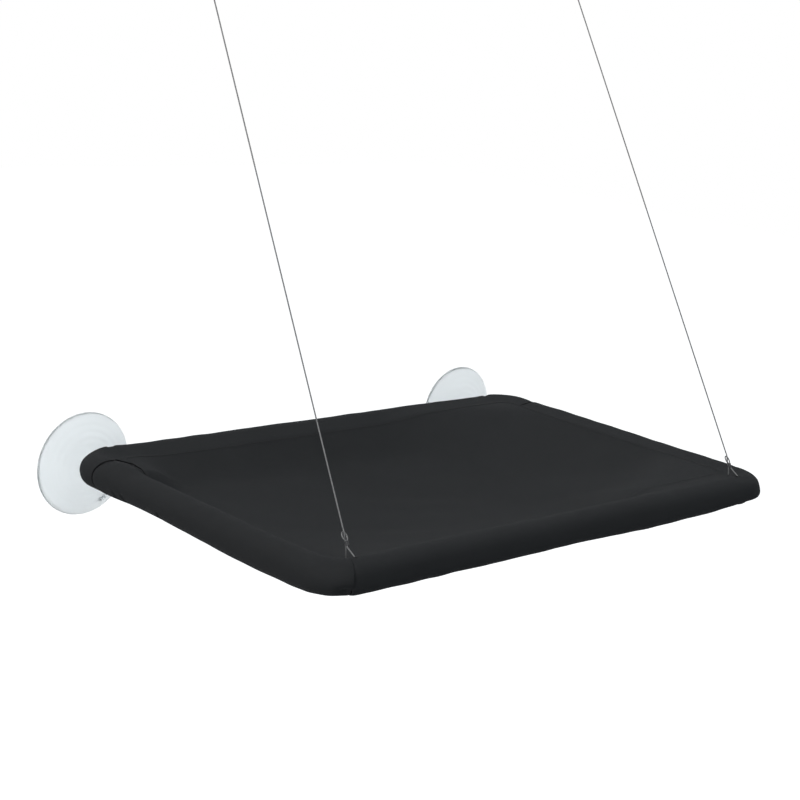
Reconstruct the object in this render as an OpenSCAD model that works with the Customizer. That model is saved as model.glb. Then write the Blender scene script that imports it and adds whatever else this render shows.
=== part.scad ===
// Window perch: a tube tray in a fabric cover, clipped to two suction cups and hung by cables from two more.
// Millimetres. The glass is the plane y = 0 and the tray reaches towards -Y. The origin lies on the glass,
// midway between the centres of the two lower cups, with +Z up.

/* [Tray frame] */
// Width between the axes of the side tubes
tray_w = 531; // [420:1:700]
// Depth between the axes of the rear and front tubes
tray_d = 330; // [240:1:430]
// Outside diameter of the frame tubes
tube_d = 20; // [17:0.5:24]
// Wall of the frame tubes
tube_wall = 1.2; // [0.8:0.1:1.6]
// Centre line radius of the corner elbows
corner_r = 22; // [20:0.5:36]
// Length of an elbow spigot inside its tube
spigot_l = 28; // [15:1:45]

/* [Cover] */
// Thickness of the padded sleeves round the tubes
sleeve_wall = 3.8; // [2:0.1:4.4]
// Slack between a sleeve and its tube
sleeve_slack = 0.4; // [0.2:0.1:0.8]
// Thickness of the seat panel
seat_t = 2.4; // [1.6:0.1:4]
// Depth that the seat panel sags below its edges
seat_sag = 32; // [8:1:42]
// Distance past the rear corners, along the side tubes, to the mitred ends of the rear sleeve's cuffs
cuff_l = 24; // [16:1:60]
// Width of the slit where a cable goes round the front tube
slit_w = 4.4; // [3:0.1:8]

/* [Suction cups] */
// Diameter of a cup at its lip
cup_d = 96; // [80:1:110]
// Height of a cup from the glass to the end of its neck
cup_h = 22; // [20:0.5:30]
// Diameter of the neck
neck_d = 22; // [21:0.5:28]
// Height of the dome where it meets the neck
dome_h = 11; // [9:0.5:15]
// Thickness of the lip at its edge
lip_t = 1.2; // [0.8:0.1:2]
// Depth of the hollow behind the glass
hollow_h = 5; // [3:0.5:6]
// Distance between the centres of the upper cups
upper_span = 438; // [380:1:560]
// Height of the upper cups above the lower ones
upper_rise = 624; // [560:1:700]

/* [Studs, nuts and washers] */
// Diameter of the threaded studs
stud_d = 6; // [5:0.5:7]
// Diameter of the stud head moulded into the neck
stud_head_d = 16; // [12:0.5:17]
// Thickness of the stud head
stud_head_t = 2; // [1.5:0.1:3]
// Advance of a nut for one turn
thread_lead = 1; // [0.8:0.1:1.5]
// Thickness of a washer
washer_t = 1; // [0.8:0.1:2]
// Diameter of the washers on the upper cups
upper_washer_d = 14; // [12:0.5:16]
// Diameter of the washers on the lower cups
lower_washer_d = 16; // [14:0.5:18]
// Diameter of the knurled lock nut on a lower cup
lock_nut_d = 21; // [18:0.5:24]
// Thickness of the lock nut
lock_nut_t = 5; // [4:0.5:8]
// Room for the lock nut to run back towards the neck
lock_nut_room = 3; // [2.5:0.5:6]
// Diameter of the grip of an upper knob nut
knob_d = 22; // [18:0.5:26]
// Depth of the grip of a knob nut
knob_grip_h = 9; // [7:0.5:14]
// Diameter of the collar under the grip
knob_collar_d = 16; // [14:0.5:17]
// Depth of the collar under the grip
knob_collar_h = 4; // [3:0.5:6]
// Length of an upper stud past its neck
upper_stud_l = 13; // [11:0.5:15]

/* [Tube clips] */
// Width of a clip along its tube
clip_w = 9.6; // [9:0.2:14]
// Wall of the clip round the tube
clip_wall = 3; // [2.2:0.1:3.6]
// Depth of the clip between its face and the tube
clip_back = 5; // [3.5:0.5:9]
// Depth of the stud in the clip
stud_grip = 9; // [6:0.5:10]
// Radial play of the tube in the clip
tube_play = 0.06; // [0.02:0.01:0.1]

/* [Cables] */
// Diameter of the steel cable
cable_d = 1.2; // [1:0.1:1.6]
// Distance from the front tube's axis to where the two legs of the hitch meet
hitch_reach = 23.5; // [22:0.5:30]
// Length of a crimped ferrule
ferrule_l = 3.6; // [3:0.1:6]
// Wall of a ferrule round its two strands
ferrule_wall = 0.5; // [0.4:0.05:0.7]
// Length of the small eye that the cable runs through
eye_l = 7.4; // [6:0.2:9]
// Width of the small eye, between the centres of its strands
eye_w = 4.4; // [4:0.1:6]

/* [Hidden] */

// Sides of the parts, as seen from the room
left = -1;
right = 1;
front = -1;
rear = 1;

// Fineness of round faces
round_fn = 64;
small_fn = 32;
// How far a cut runs past the face that it opens
overrun = 1;
// Radial play of a nut on its thread, and of a stud in the cup, clip or ferrule that holds it
thread_play = 0.06;
// Radial play of a washer or of a cable eye round a stud
loose_play = 0.3;
// Gap that keeps neighbouring fabric pieces apart
fabric_gap = 0.3;
// Angle of the seam between a cuff and a side sleeve
mitre = 45;
// Play of a cable between the washers, each side
clamp_play = 0.05;

// Tray
tube_r = tube_d / 2;
bore_r = tube_r - tube_wall;
sleeve_in = tube_r + sleeve_slack;
sleeve_r = sleeve_in + sleeve_wall;
half_w = tray_w / 2;
half_d = tray_d / 2;
run_x = half_w - corner_r;
run_y = half_d - corner_r;

// Elbow spigot: core and crush ribs inside the tube, and the passage through the whole elbow
spigot_play = 0.1;
rib_h = 0.4;
rib_w = 1.6;
rib_count = 6;
elbow_wall = 2;
spigot_lead = 1.5;
spigot_r = bore_r - spigot_play - rib_h;
passage_r = spigot_r - elbow_wall;

// Stack on a lower cup, measured from the glass into the room
clip_face = cup_h + lock_nut_room + lock_nut_t + washer_t;
standoff = clip_face + tube_r + clip_back;
tube_rise = tube_r + stud_d / 2;
clip_side_gap = 0.2;
cup_x = run_x - clip_side_gap - clip_w / 2;

// Stack on an upper cup, measured from the glass into the room
eye_plane = cup_h + washer_t + clamp_play + cable_d / 2;
upper_washer_at = eye_plane + cable_d / 2 + clamp_play;
knob_at = upper_washer_at + washer_t;

// Clip mouth, in degrees about the tube from the room (0) up over the tube (90)
mouth_from = -28;
mouth_to = 133;
// Bare cloth that runs over the clip, where the padding stops either side, in degrees the same way
strap_from = -68;
strap_to = 90;
// Gap between the clip and the edge of its window in the sleeve
window_gap = 1.2;

// Cup
rim_r = cup_d / 2;
neck_r = neck_d / 2;
lip_w = 4;
neck_fillet = 3;
neck_edge = 1;
dome_power = 1.6;
dome_steps = 12;
fillet_steps = 5;
hollow_steps = 8;
head_cover = 1.5;
head_at = dome_h + head_cover;
stud_head_play = 0.1;
// Raised lug near the lip, for a fingernail to lift the edge
lug_angle = -58;
lug_at = 40 / 48 * rim_r;
lug_l = 10;
lug_w = 5;
lug_rise = 1.4;

// Grips
knob_flutes = 12;
flute_r = 2.6;
flute_depth = 1.1;
lock_flutes = 18;
lock_flute_r = 1.3;
lock_flute_depth = 0.7;
grip_edge = 1;
knob_cap_t = 2.5;

// Seat panel
seat_cells_x = 24;
seat_cells_y = 16;
seat_edge_share = 0.35;
seat_power_x = 2.6;
seat_power_y = 2.1;
seat_edge_z = seat_edge_share * sleeve_r;
seat_inset = sqrt(pow(sleeve_r + fabric_gap, 2) - pow(seat_edge_z - seat_t / 2, 2));

// Cables
wire_r = cable_d / 2;
wire_sides = 8;
strand_gap = 0.1;
strand_x = (cable_d + strand_gap) / 2;
turn_steps = 14;
eye_steps = 16;
hitch_x = run_x - slit_w / 2 - wire_r - clip_side_gap;
upper_x = upper_span / 2;
// Route of the free span of the right cable, from the upper ferrule down to the hitch. It hangs taut.
cable_route = [[219.6, -26.8, 611], [240.5, -357.3, 45]];
span_steps = 24;

black_cloth = [0.16, 0.16, 0.17];
clear_vinyl = [0.86, 0.9, 0.91, 0.75];
steel = [0.62, 0.63, 0.64];
moulding = [0.1, 0.1, 0.11];
clear_nylon = [0.9, 0.92, 0.93];

function unit(v) = v / norm(v);
function between(a, b, share) = a + (b - a) * share;
function mirror_x(p, side) = [side * p[0], p[1], p[2]];

// Frame of the tray: x to the right, y towards the window, z up, with the tube axes in the plane z = 0
module on_tray() {
    translate([0, -standoff - half_d, tube_rise]) children();
}

// Frame of a cup: z from the glass into the room, x to the right, y up
module on_glass(x, z) {
    translate([x, 0, z]) rotate([90, 0, 0]) children();
}

module ring(inner, outer) {
    difference() {
        circle(r = outer, $fn = round_fn);
        circle(r = inner, $fn = round_fn);
    }
}

module pipe(length, inner, outer) {
    difference() {
        cylinder(h = length, r = outer, $fn = round_fn);
        translate([0, 0, -overrun]) cylinder(h = length + 2 * overrun, r = inner, $fn = round_fn);
    }
}

// Pipe along x from x0 to x1, at depth y of the tray
module pipe_x(y, x0, x1, inner, outer) {
    translate([x0, y, 0]) rotate([0, 90, 0]) pipe(x1 - x0, inner, outer);
}

// Pipe along y from y0 to y1, at width x of the tray
module pipe_y(x, y0, y1, inner, outer) {
    translate([x, y0, 0]) rotate([-90, 0, 0]) pipe(y1 - y0, inner, outer);
}

// Quarter bend at one corner of the tray
module corner_bend(side, end, inner, outer) {
    first = side == right ? (end == rear ? 0 : 270) : (end == rear ? 90 : 180);
    translate([side * run_x, end * run_y, 0]) rotate([0, 0, first])
        rotate_extrude(angle = 90, $fn = round_fn) translate([corner_r, 0]) ring(inner, outer);
}

module tube_x(end) {
    color(steel) on_tray() pipe_x(end * half_d, -run_x, run_x, bore_r, tube_r);
}

module tube_y(side) {
    color(steel) on_tray() pipe_y(side * half_w, -run_y, run_y, bore_r, tube_r);
}

// Hollow spigot along z, tapered at its tip, with crush ribs
module spigot() {
    difference() {
        union() {
            cylinder(h = spigot_l - spigot_lead, r = spigot_r, $fn = round_fn);
            translate([0, 0, spigot_l - spigot_lead])
                cylinder(h = spigot_lead, r1 = spigot_r, r2 = spigot_r - rib_h, $fn = round_fn);
            for (i = [0:rib_count - 1]) rotate([0, 0, i * 360 / rib_count])
                translate([passage_r + elbow_wall / 2, -rib_w / 2, 0])
                    cube([spigot_r + rib_h - passage_r - elbow_wall / 2, rib_w, spigot_l - 2 * spigot_lead]);
        }
        translate([0, 0, -overrun])
            cylinder(h = spigot_l + 2 * overrun, r = passage_r, $fn = round_fn);
    }
}

// Corner elbow, flush with the tubes
module elbow(side, end) {
    color(moulding) on_tray() {
        corner_bend(side, end, passage_r, tube_r);
        translate([side * run_x, end * half_d, 0]) rotate([0, -side * 90, 0]) spigot();
        translate([side * half_w, end * run_y, 0]) rotate([end * 90, 0, 0]) spigot();
    }
}

// Height of the seat panel's upper face at shares u and v of its half width and half depth
function seat_z(u, v) =
    seat_edge_z + seat_t / 2
    - seat_sag * (1 - pow(abs(u), seat_power_x)) * (1 - pow(abs(v), seat_power_y));

// Point of the seat grid. The four corner points are drawn in to clear the bends of the sleeves.
function seat_point(i, j, drop) =
    let (u = 2 * i / seat_cells_x - 1, v = 2 * j / seat_cells_y - 1)
    let (draw = abs(u) == 1 && abs(v) == 1 ? (corner_r - seat_inset) * (1 - sqrt(1 / 2)) : 0)
    [u * (half_w - seat_inset - draw), v * (half_d - seat_inset - draw), seat_z(u, v) - drop];

module cover_seat() {
    row = seat_cells_x + 1;
    sheet = row * (seat_cells_y + 1);
    points = [for (drop = [0, seat_t]) for (j = [0:seat_cells_y]) for (i = [0:seat_cells_x])
        seat_point(i, j, drop)];
    function at(i, j) = j * row + i;
    upper = [for (j = [0:seat_cells_y - 1]) for (i = [0:seat_cells_x - 1])
        for (f = [[at(i, j), at(i, j + 1), at(i + 1, j)], [at(i + 1, j), at(i, j + 1), at(i + 1, j + 1)]]) f];
    lower = [for (f = upper) [f[0] + sheet, f[2] + sheet, f[1] + sheet]];
    edge = concat(
        [for (i = [0:seat_cells_x - 1]) [at(i, 0), at(i + 1, 0)]],
        [for (j = [0:seat_cells_y - 1]) [at(seat_cells_x, j), at(seat_cells_x, j + 1)]],
        [for (i = [seat_cells_x:-1:1]) [at(i, seat_cells_y), at(i - 1, seat_cells_y)]],
        [for (j = [seat_cells_y:-1:1]) [at(0, j), at(0, j - 1)]]);
    wall = [for (e = edge) for (f = [[e[0], e[1], e[0] + sheet], [e[1], e[1] + sheet, e[0] + sheet]]) f];
    color(black_cloth) on_tray() polyhedron(points = points, faces = concat(upper, lower, wall));
}

// Block in front of or behind the mitre plane between a cuff and a side sleeve, moved forward by a gap
module mitre_block(side, end, gap) {
    reach = 4 * sleeve_r;
    translate([side * half_w, run_y - cuff_l - gap, -reach / 2]) rotate([0, 0, side * mitre])
        translate([-reach / 2, end == rear ? 0 : -reach, 0]) cube(reach);
}

module cover_front_sleeve() {
    color(black_cloth) on_tray()
        pipe_x(front * half_d, slit_w / 2 - hitch_x, hitch_x - slit_w / 2, sleeve_in, sleeve_r);
}

// Side sleeve, from its mitred end at the rear sleeve's cuff round the front corner to the cable's slit
module cover_side_sleeve(side) {
    slit_edge = hitch_x + slit_w / 2;
    color(black_cloth) on_tray() {
        difference() {
            pipe_y(side * half_w, -run_y, run_y - cuff_l + sleeve_r, sleeve_in, sleeve_r);
            mitre_block(side, rear, fabric_gap / cos(mitre));
        }
        corner_bend(side, front, sleeve_in, sleeve_r);
        pipe_x(front * half_d, side == right ? slit_edge : -run_x, side == right ? run_x : -slit_edge,
            sleeve_in, sleeve_r);
    }
}

// Window in the rear sleeve for a clip, cut all round but for the bare cloth that faces the room
module clip_window(side) {
    cut_w = clip_w + 2 * window_gap;
    reach = 2 * sleeve_r;
    translate([side * cup_x - cut_w / 2, rear * half_d, 0]) rotate([90, 0, 90]) linear_extrude(cut_w)
        difference() {
            circle(r = sleeve_r + overrun, $fn = round_fn);
            intersection() {
                ring(tube_r + clip_wall + fabric_gap, reach);
                polygon([[0, 0], for (a = [strap_from, (strap_from + strap_to) / 2, strap_to])
                    reach * [-cos(a), sin(a)]]);
            }
        }
}

module cover_rear_sleeve() {
    color(black_cloth) on_tray() difference() {
        union() {
            pipe_x(rear * half_d, -run_x, run_x, sleeve_in, sleeve_r);
            for (side = [left, right]) {
                corner_bend(side, rear, sleeve_in, sleeve_r);
                difference() {
                    pipe_y(side * half_w, run_y - cuff_l - sleeve_r, run_y, sleeve_in, sleeve_r);
                    mitre_block(side, front, 0);
                }
            }
        }
        clip_window(left);
        clip_window(right);
    }
}

// Height of the dome's outer face at a share of the way from the neck (0) to the rim (1)
function dome_z(share) = lip_t + (dome_h - lip_t) * (1 - pow(share, dome_power));

module cup_outline() {
    foot_r = neck_r + neck_fillet;
    dome = [for (i = [dome_steps:-1:0]) let (share = i / dome_steps)
        [between(foot_r, rim_r, share), dome_z(share)]];
    fillet = [for (i = [1:fillet_steps]) let (a = 90 * i / fillet_steps)
        [foot_r - neck_fillet * sin(a), dome_h + neck_fillet * (1 - cos(a))]];
    polygon(concat([[0, 0], [rim_r, 0]], dome, fillet,
        [[neck_r, cup_h - neck_edge], [neck_r - neck_edge, cup_h], [0, cup_h]]));
}

module cup_hollow_outline() {
    roof = [for (i = [0:hollow_steps]) let (share = i / hollow_steps)
        [(rim_r - lip_w) * share, hollow_h * (1 - share * share)]];
    polygon(concat([[0, -overrun], for (p = roof) p], [[rim_r - lip_w, -overrun]]));
}

// Suction cup, with its lug turned towards the middle of the part
module cup(side) {
    difference() {
        union() {
            rotate_extrude($fn = round_fn) cup_outline();
            rotate([0, 0, side == right ? 180 - lug_angle : lug_angle]) translate([lug_at, 0, 0]) {
                lug_top = dome_z((lug_at - neck_r - neck_fillet) / (rim_r - neck_r - neck_fillet)) + lug_rise;
                translate([-lug_w / 2, -(lug_l - lug_w) / 2, lip_t / 2])
                    cube([lug_w, lug_l - lug_w, lug_top - lip_t / 2]);
                for (s = [left, right]) translate([0, s * (lug_l - lug_w) / 2, lip_t / 2])
                    cylinder(h = lug_top - lip_t / 2, d = lug_w, $fn = small_fn);
            }
        }
        rotate_extrude($fn = round_fn) cup_hollow_outline();
        translate([0, 0, head_at - stud_head_play])
            cylinder(h = stud_head_t + 2 * stud_head_play, r = stud_head_d / 2 + stud_head_play,
                $fn = round_fn);
        translate([0, 0, head_at])
            cylinder(h = cup_h, r = stud_d / 2 + thread_play, $fn = small_fn);
    }
}

module lower_cup(side) {
    color(clear_vinyl) on_glass(side * cup_x, 0) cup(side);
}

module upper_cup(side) {
    color(clear_vinyl) on_glass(side * upper_x, upper_rise) cup(side);
}

// Stud whose head is moulded into the neck; length is how far it stands out of the neck
module stud(length) {
    tip = stud_d / 8;
    translate([0, 0, head_at]) cylinder(h = stud_head_t, d = stud_head_d, $fn = round_fn);
    translate([0, 0, head_at]) cylinder(h = cup_h + length - tip - head_at, d = stud_d, $fn = small_fn);
    translate([0, 0, cup_h + length - tip])
        cylinder(h = tip, d1 = stud_d, d2 = stud_d - 2 * tip, $fn = small_fn);
}

module lower_stud(side) {
    color(steel) on_glass(side * cup_x, 0) stud(clip_face + stud_grip - cup_h);
}

module upper_stud(side) {
    color(steel) on_glass(side * upper_x, upper_rise) stud(upper_stud_l);
}

module washer(diameter) {
    pipe(washer_t, stud_d / 2 + loose_play, diameter / 2);
}

module lower_washer(side) {
    color(steel) on_glass(side * cup_x, 0) translate([0, 0, clip_face - washer_t]) washer(lower_washer_d);
}

module upper_back_washer(side) {
    color(steel) on_glass(side * upper_x, upper_rise) translate([0, 0, cup_h]) washer(upper_washer_d);
}

module upper_washer(side) {
    color(steel) on_glass(side * upper_x, upper_rise) translate([0, 0, upper_washer_at])
        washer(upper_washer_d);
}

// Round grip with bevelled edges and a ring of scalloped flutes
module grip(diameter, height, flutes, radius, depth) {
    r = diameter / 2;
    difference() {
        rotate_extrude($fn = round_fn) polygon([[0, 0], [r - grip_edge, 0], [r, grip_edge],
            [r, height - grip_edge], [r - grip_edge, height], [0, height]]);
        for (i = [0:flutes - 1]) rotate([0, 0, i * 360 / flutes])
            translate([r + radius - depth, 0, -overrun])
                cylinder(h = height + 2 * overrun, r = radius, $fn = small_fn);
    }
}

module lower_nut(side) {
    color(clear_nylon) on_glass(side * cup_x, 0) translate([0, 0, cup_h + lock_nut_room]) difference() {
        grip(lock_nut_d, lock_nut_t, lock_flutes, lock_flute_r, lock_flute_depth);
        translate([0, 0, -overrun])
            cylinder(h = lock_nut_t + 2 * overrun, r = stud_d / 2 + thread_play, $fn = small_fn);
    }
}

module upper_nut(side) {
    bore_h = knob_collar_h + knob_grip_h - knob_cap_t;
    color(clear_nylon) on_glass(side * upper_x, upper_rise) translate([0, 0, knob_at]) difference() {
        union() {
            cylinder(h = knob_collar_h, d = knob_collar_d, $fn = round_fn);
            translate([0, 0, knob_collar_h]) grip(knob_d, knob_grip_h, knob_flutes, flute_r, flute_depth);
        }
        translate([0, 0, -overrun])
            cylinder(h = bore_h + overrun, r = stud_d / 2 + thread_play, $fn = small_fn);
    }
}

// Side view of a clip: x towards the window, y up, about the tube's axis
module clip_outline() {
    outer = tube_r + clip_wall;
    block_to = standoff - clip_face;
    block_from = block_to - clip_back - tube_r - clip_wall;
    foot = clip_w / 2;
    difference() {
        union() {
            circle(r = outer, $fn = round_fn);
            translate([block_from + foot, -tube_rise - foot]) square([block_to - block_from - foot, tube_rise + foot]);
            translate([block_from + foot, -tube_rise]) circle(r = foot, $fn = small_fn);
            translate([block_from, -tube_rise]) square([foot, foot]);
        }
        circle(r = tube_r + tube_play, $fn = round_fn);
        polygon([[0, 0], for (a = [mouth_from, (mouth_from + mouth_to) / 2, mouth_to])
            2 * outer * [-cos(a), sin(a)]]);
    }
    for (a = [mouth_from, mouth_to])
        translate((tube_r + tube_play + (clip_wall - tube_play) / 2) * [-cos(a), sin(a)])
            circle(d = clip_wall - tube_play, $fn = small_fn);
}

module tube_clip(side) {
    color(moulding) difference() {
        translate([side * cup_x - clip_w / 2, -standoff, tube_rise]) rotate([90, 0, 90])
            linear_extrude(clip_w) clip_outline();
        on_glass(side * cup_x, 0) translate([0, 0, clip_face - overrun])
            cylinder(h = stud_grip + overrun + clamp_play, r = stud_d / 2 + thread_play, $fn = small_fn);
    }
}

// Direction of the wire at one point of its route
function heading(p, i) =
    i == 0 ? unit(p[1] - p[0])
    : i == len(p) - 1 ? unit(p[i] - p[i - 1])
    : unit(unit(p[i + 1] - p[i]) + unit(p[i] - p[i - 1]));

// One normal for each point of a route, carried along without twist from the first one
function normals(p, first) =
    [for (i = 0, a = unit(first - (first * heading(p, 0)) * heading(p, 0)); i < len(p);
        i = i + 1,
        a = i < len(p) ? unit(a - (a * heading(p, i)) * heading(p, i)) : a) a];

// Round wire swept along a route as one closed tube
module wire(p, first) {
    a = normals(p, first);
    last = (len(p) - 1) * wire_sides;
    points = [for (i = [0:len(p) - 1]) let (b = cross(heading(p, i), a[i]))
        for (k = [0:wire_sides - 1]) let (turn = 360 * k / wire_sides)
            p[i] + wire_r * (cos(turn) * a[i] + sin(turn) * b)];
    skin = [for (i = [0:len(p) - 2]) for (k = [0:wire_sides - 1])
        let (q = i * wire_sides, n = (k + 1) % wire_sides)
        for (f = [[q + k, q + wire_sides + k, q + n], [q + n, q + wire_sides + k, q + wire_sides + n]]) f];
    start = [for (k = [1:wire_sides - 2]) [0, k, k + 1]];
    end = [for (k = [1:wire_sides - 2]) [last, last + k + 1, last + k]];
    polyhedron(points = points, faces = concat(skin, start, end));
}

// Free span of a cable, with rings between the points of its route
module cable(side) {
    route = [for (i = [0:len(cable_route) - 2]) for (k = [0:span_steps - 1])
        between(cable_route[i], cable_route[i + 1], k / span_steps)];
    points = [for (p = concat(route, [cable_route[len(cable_route) - 1]])) mirror_x(p, side)];
    color(steel) wire(points, [1, 0, 0]);
}

// Where the strands of an upper eye leave the stud's plane and turn down towards the hitch
upper_bend_at = upper_washer_d / 2 + wire_r;
upper_bend = [upper_x, -eye_plane, upper_rise - upper_bend_at];

// Axes of a hitch: along the pull of the cable, across it towards the room, and along the tube
hitch_centre = [hitch_x, -standoff - tray_d, tube_rise];
pull = unit([0, upper_bend[1] - hitch_centre[1], upper_bend[2] - hitch_centre[2]]);
across = [0, -pull[2], pull[1]];
function hitch_point(u, v, w) = hitch_centre + u * pull + v * across + [w, 0, 0];

// Hitch: the cable passes through its own eye, goes round the tube and comes back up to form the eye
hitch_turn_r = tube_r + wire_r + loose_play / 2;
hitch_angle = acos(hitch_turn_r / hitch_reach);
ferrule_half_t = wire_r + ferrule_wall;
strand_clear = ferrule_half_t + wire_r + strand_gap;
eye_from = hitch_reach + ferrule_l;
eye_mid = eye_from + eye_l / 2;
hitch_lead = 2.4;
eye_lean = cable_d + 2 * strand_gap;

module hitch(side) {
    points = concat(
        [hitch_point(eye_from + eye_l + hitch_lead, 0, 0),
            hitch_point(eye_from + eye_l, 0, 0),
            hitch_point(eye_from, -strand_clear, 0),
            hitch_point(hitch_reach, -strand_clear - wire_r, 0)],
        [for (i = [0:turn_steps]) let (a = -hitch_angle - i * (360 - 2 * hitch_angle) / turn_steps)
            hitch_point(hitch_turn_r * cos(a), hitch_turn_r * sin(a), 0)],
        [hitch_point(hitch_reach - hitch_lead, wire_r, strand_x),
            hitch_point(hitch_reach, 0, strand_x),
            hitch_point(eye_from, 0, strand_x)],
        [for (i = [1:eye_steps - 1]) let (a = 360 * i / eye_steps, w = eye_w / 2 * sin(a))
            hitch_point(eye_mid - eye_l / 2 * cos(a), -eye_lean * (1 - cos(a)) / 2, w)],
        [hitch_point(eye_from, 0, -strand_x), hitch_point(hitch_reach, 0, -strand_x)]);
    color(steel) wire([for (p = points) mirror_x(p, side)], [1, 0, 0]);
}

// Oval ferrule along z with its two strands side by side along x
module ferrule_body() {
    linear_extrude(ferrule_l) difference() {
        union() {
            square([2 * strand_x, 2 * ferrule_half_t], center = true);
            for (s = [left, right]) translate([s * strand_x, 0]) circle(r = ferrule_half_t, $fn = small_fn);
        }
        for (s = [left, right]) translate([s * strand_x, 0])
            circle(r = wire_r + thread_play, $fn = small_fn);
    }
}

// Tilt that turns +z to a direction in the plane x = 0
function tilt(v) = -atan2(v[1], v[2]);

module lower_ferrule(side) {
    color(steel) translate(mirror_x(hitch_point(hitch_reach, 0, 0), side)) rotate([tilt(pull), 0, 0])
        ferrule_body();
}

// Upper end: the eye goes round the stud and its two strands run into the ferrule
upper_turn_r = stud_d / 2 + wire_r + thread_play;
upper_lead = 2.5;
upper_ferrule_top = upper_bend - upper_lead * pull;
upper_ferrule_foot = upper_ferrule_top - ferrule_l * pull;
upper_turn_steps = 12;

module upper_eye(side) {
    centre = [upper_x, -eye_plane, upper_rise];
    reach = upper_rise - upper_ferrule_top[2];
    angle = acos(upper_turn_r / reach);
    rest_share = (upper_bend_at - upper_turn_r * cos(angle)) / (reach - upper_turn_r * cos(angle));
    tangent = [for (s = [right, left]) centre + upper_turn_r * [s * sin(angle), 0, -cos(angle)]];
    end = [for (s = [right, left]) upper_ferrule_top + [s * strand_x, 0, 0]];
    foot = [for (s = [right, left]) upper_ferrule_foot + [s * strand_x, 0, 0]];
    bend = [for (k = [0, 1]) let (p = between(tangent[k], end[k], rest_share)) [p[0], centre[1], p[2]]];
    points = concat(
        [foot[0], end[0], bend[0]],
        [for (i = [0:upper_turn_steps]) let (a = angle + i * (360 - 2 * angle) / upper_turn_steps)
            centre + upper_turn_r * [sin(a), 0, -cos(a)]],
        [bend[1], end[1], foot[1]]);
    color(steel) wire([for (p = points) mirror_x(p, side)], [0, 1, 0]);
}

module upper_ferrule(side) {
    color(steel) translate(mirror_x(upper_ferrule_top, side)) rotate([tilt(-pull), 0, 0])
        ferrule_body();
}

tube_x(front);  // front_tube
tube_x(rear);  // rear_tube
tube_y(left);  // left_tube
tube_y(right);  // right_tube
elbow(left, front);  // elbow_front_left
elbow(right, front);  // elbow_front_right
elbow(left, rear);  // elbow_rear_left
elbow(right, rear);  // elbow_rear_right
cover_seat();
cover_front_sleeve();
cover_rear_sleeve();
cover_side_sleeve(left);  // cover_left_sleeve
cover_side_sleeve(right);  // cover_right_sleeve
lower_cup(left);  // lower_cup_left
lower_cup(right);  // lower_cup_right
upper_cup(left);  // upper_cup_left
upper_cup(right);  // upper_cup_right
lower_stud(left);  // lower_stud_left
lower_stud(right);  // lower_stud_right
upper_stud(left);  // upper_stud_left
upper_stud(right);  // upper_stud_right
tube_clip(left);  // tube_clip_left
tube_clip(right);  // tube_clip_right
lower_washer(left);  // lower_washer_left
lower_washer(right);  // lower_washer_right
lower_nut(left);  // lower_nut_left
lower_nut(right);  // lower_nut_right
upper_back_washer(left);  // upper_back_washer_left
upper_back_washer(right);  // upper_back_washer_right
upper_washer(left);  // upper_washer_left
upper_washer(right);  // upper_washer_right
upper_nut(left);  // upper_nut_left
upper_nut(right);  // upper_nut_right
cable(left);  // cable_left
cable(right);  // cable_right
hitch(left);  // hitch_left
hitch(right);  // hitch_right
lower_ferrule(left);  // lower_ferrule_left
lower_ferrule(right);  // lower_ferrule_right
upper_eye(left);  // upper_eye_left
upper_eye(right);  // upper_eye_right
upper_ferrule(left);  // upper_ferrule_left
upper_ferrule(right);  // upper_ferrule_right
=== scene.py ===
import math

import bpy
import numpy as np
from bpy.props import FloatProperty, FloatVectorProperty, IntProperty, PointerProperty
from mathutils import Matrix, Vector


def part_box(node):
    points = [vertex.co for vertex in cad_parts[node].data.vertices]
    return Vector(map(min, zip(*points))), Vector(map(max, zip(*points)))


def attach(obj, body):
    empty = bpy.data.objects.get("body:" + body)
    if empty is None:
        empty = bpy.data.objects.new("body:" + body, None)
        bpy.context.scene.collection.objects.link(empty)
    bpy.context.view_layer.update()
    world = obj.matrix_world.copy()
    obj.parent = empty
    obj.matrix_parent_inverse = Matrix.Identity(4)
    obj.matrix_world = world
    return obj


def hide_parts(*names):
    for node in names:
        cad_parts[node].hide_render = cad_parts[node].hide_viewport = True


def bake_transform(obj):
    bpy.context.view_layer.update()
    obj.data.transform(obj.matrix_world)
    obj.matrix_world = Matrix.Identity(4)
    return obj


bl_info = {
    "name": "Window Perch",
    "version": (1, 0, 0),
    "blender": (4, 5, 0),
    "location": "View3D > Sidebar > Perch",
    "description": "Dresses the window perch: cover, cups, cables, fittings and their finishes",
    "category": "Object",
}

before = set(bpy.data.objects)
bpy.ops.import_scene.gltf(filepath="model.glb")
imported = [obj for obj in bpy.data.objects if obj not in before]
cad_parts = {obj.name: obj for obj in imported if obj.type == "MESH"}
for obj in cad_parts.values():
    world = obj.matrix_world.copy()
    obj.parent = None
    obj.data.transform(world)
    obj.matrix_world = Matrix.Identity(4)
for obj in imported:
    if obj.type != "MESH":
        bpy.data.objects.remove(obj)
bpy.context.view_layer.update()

SIDES = (("left", -1), ("right", 1))
MM = 0.001
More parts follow.
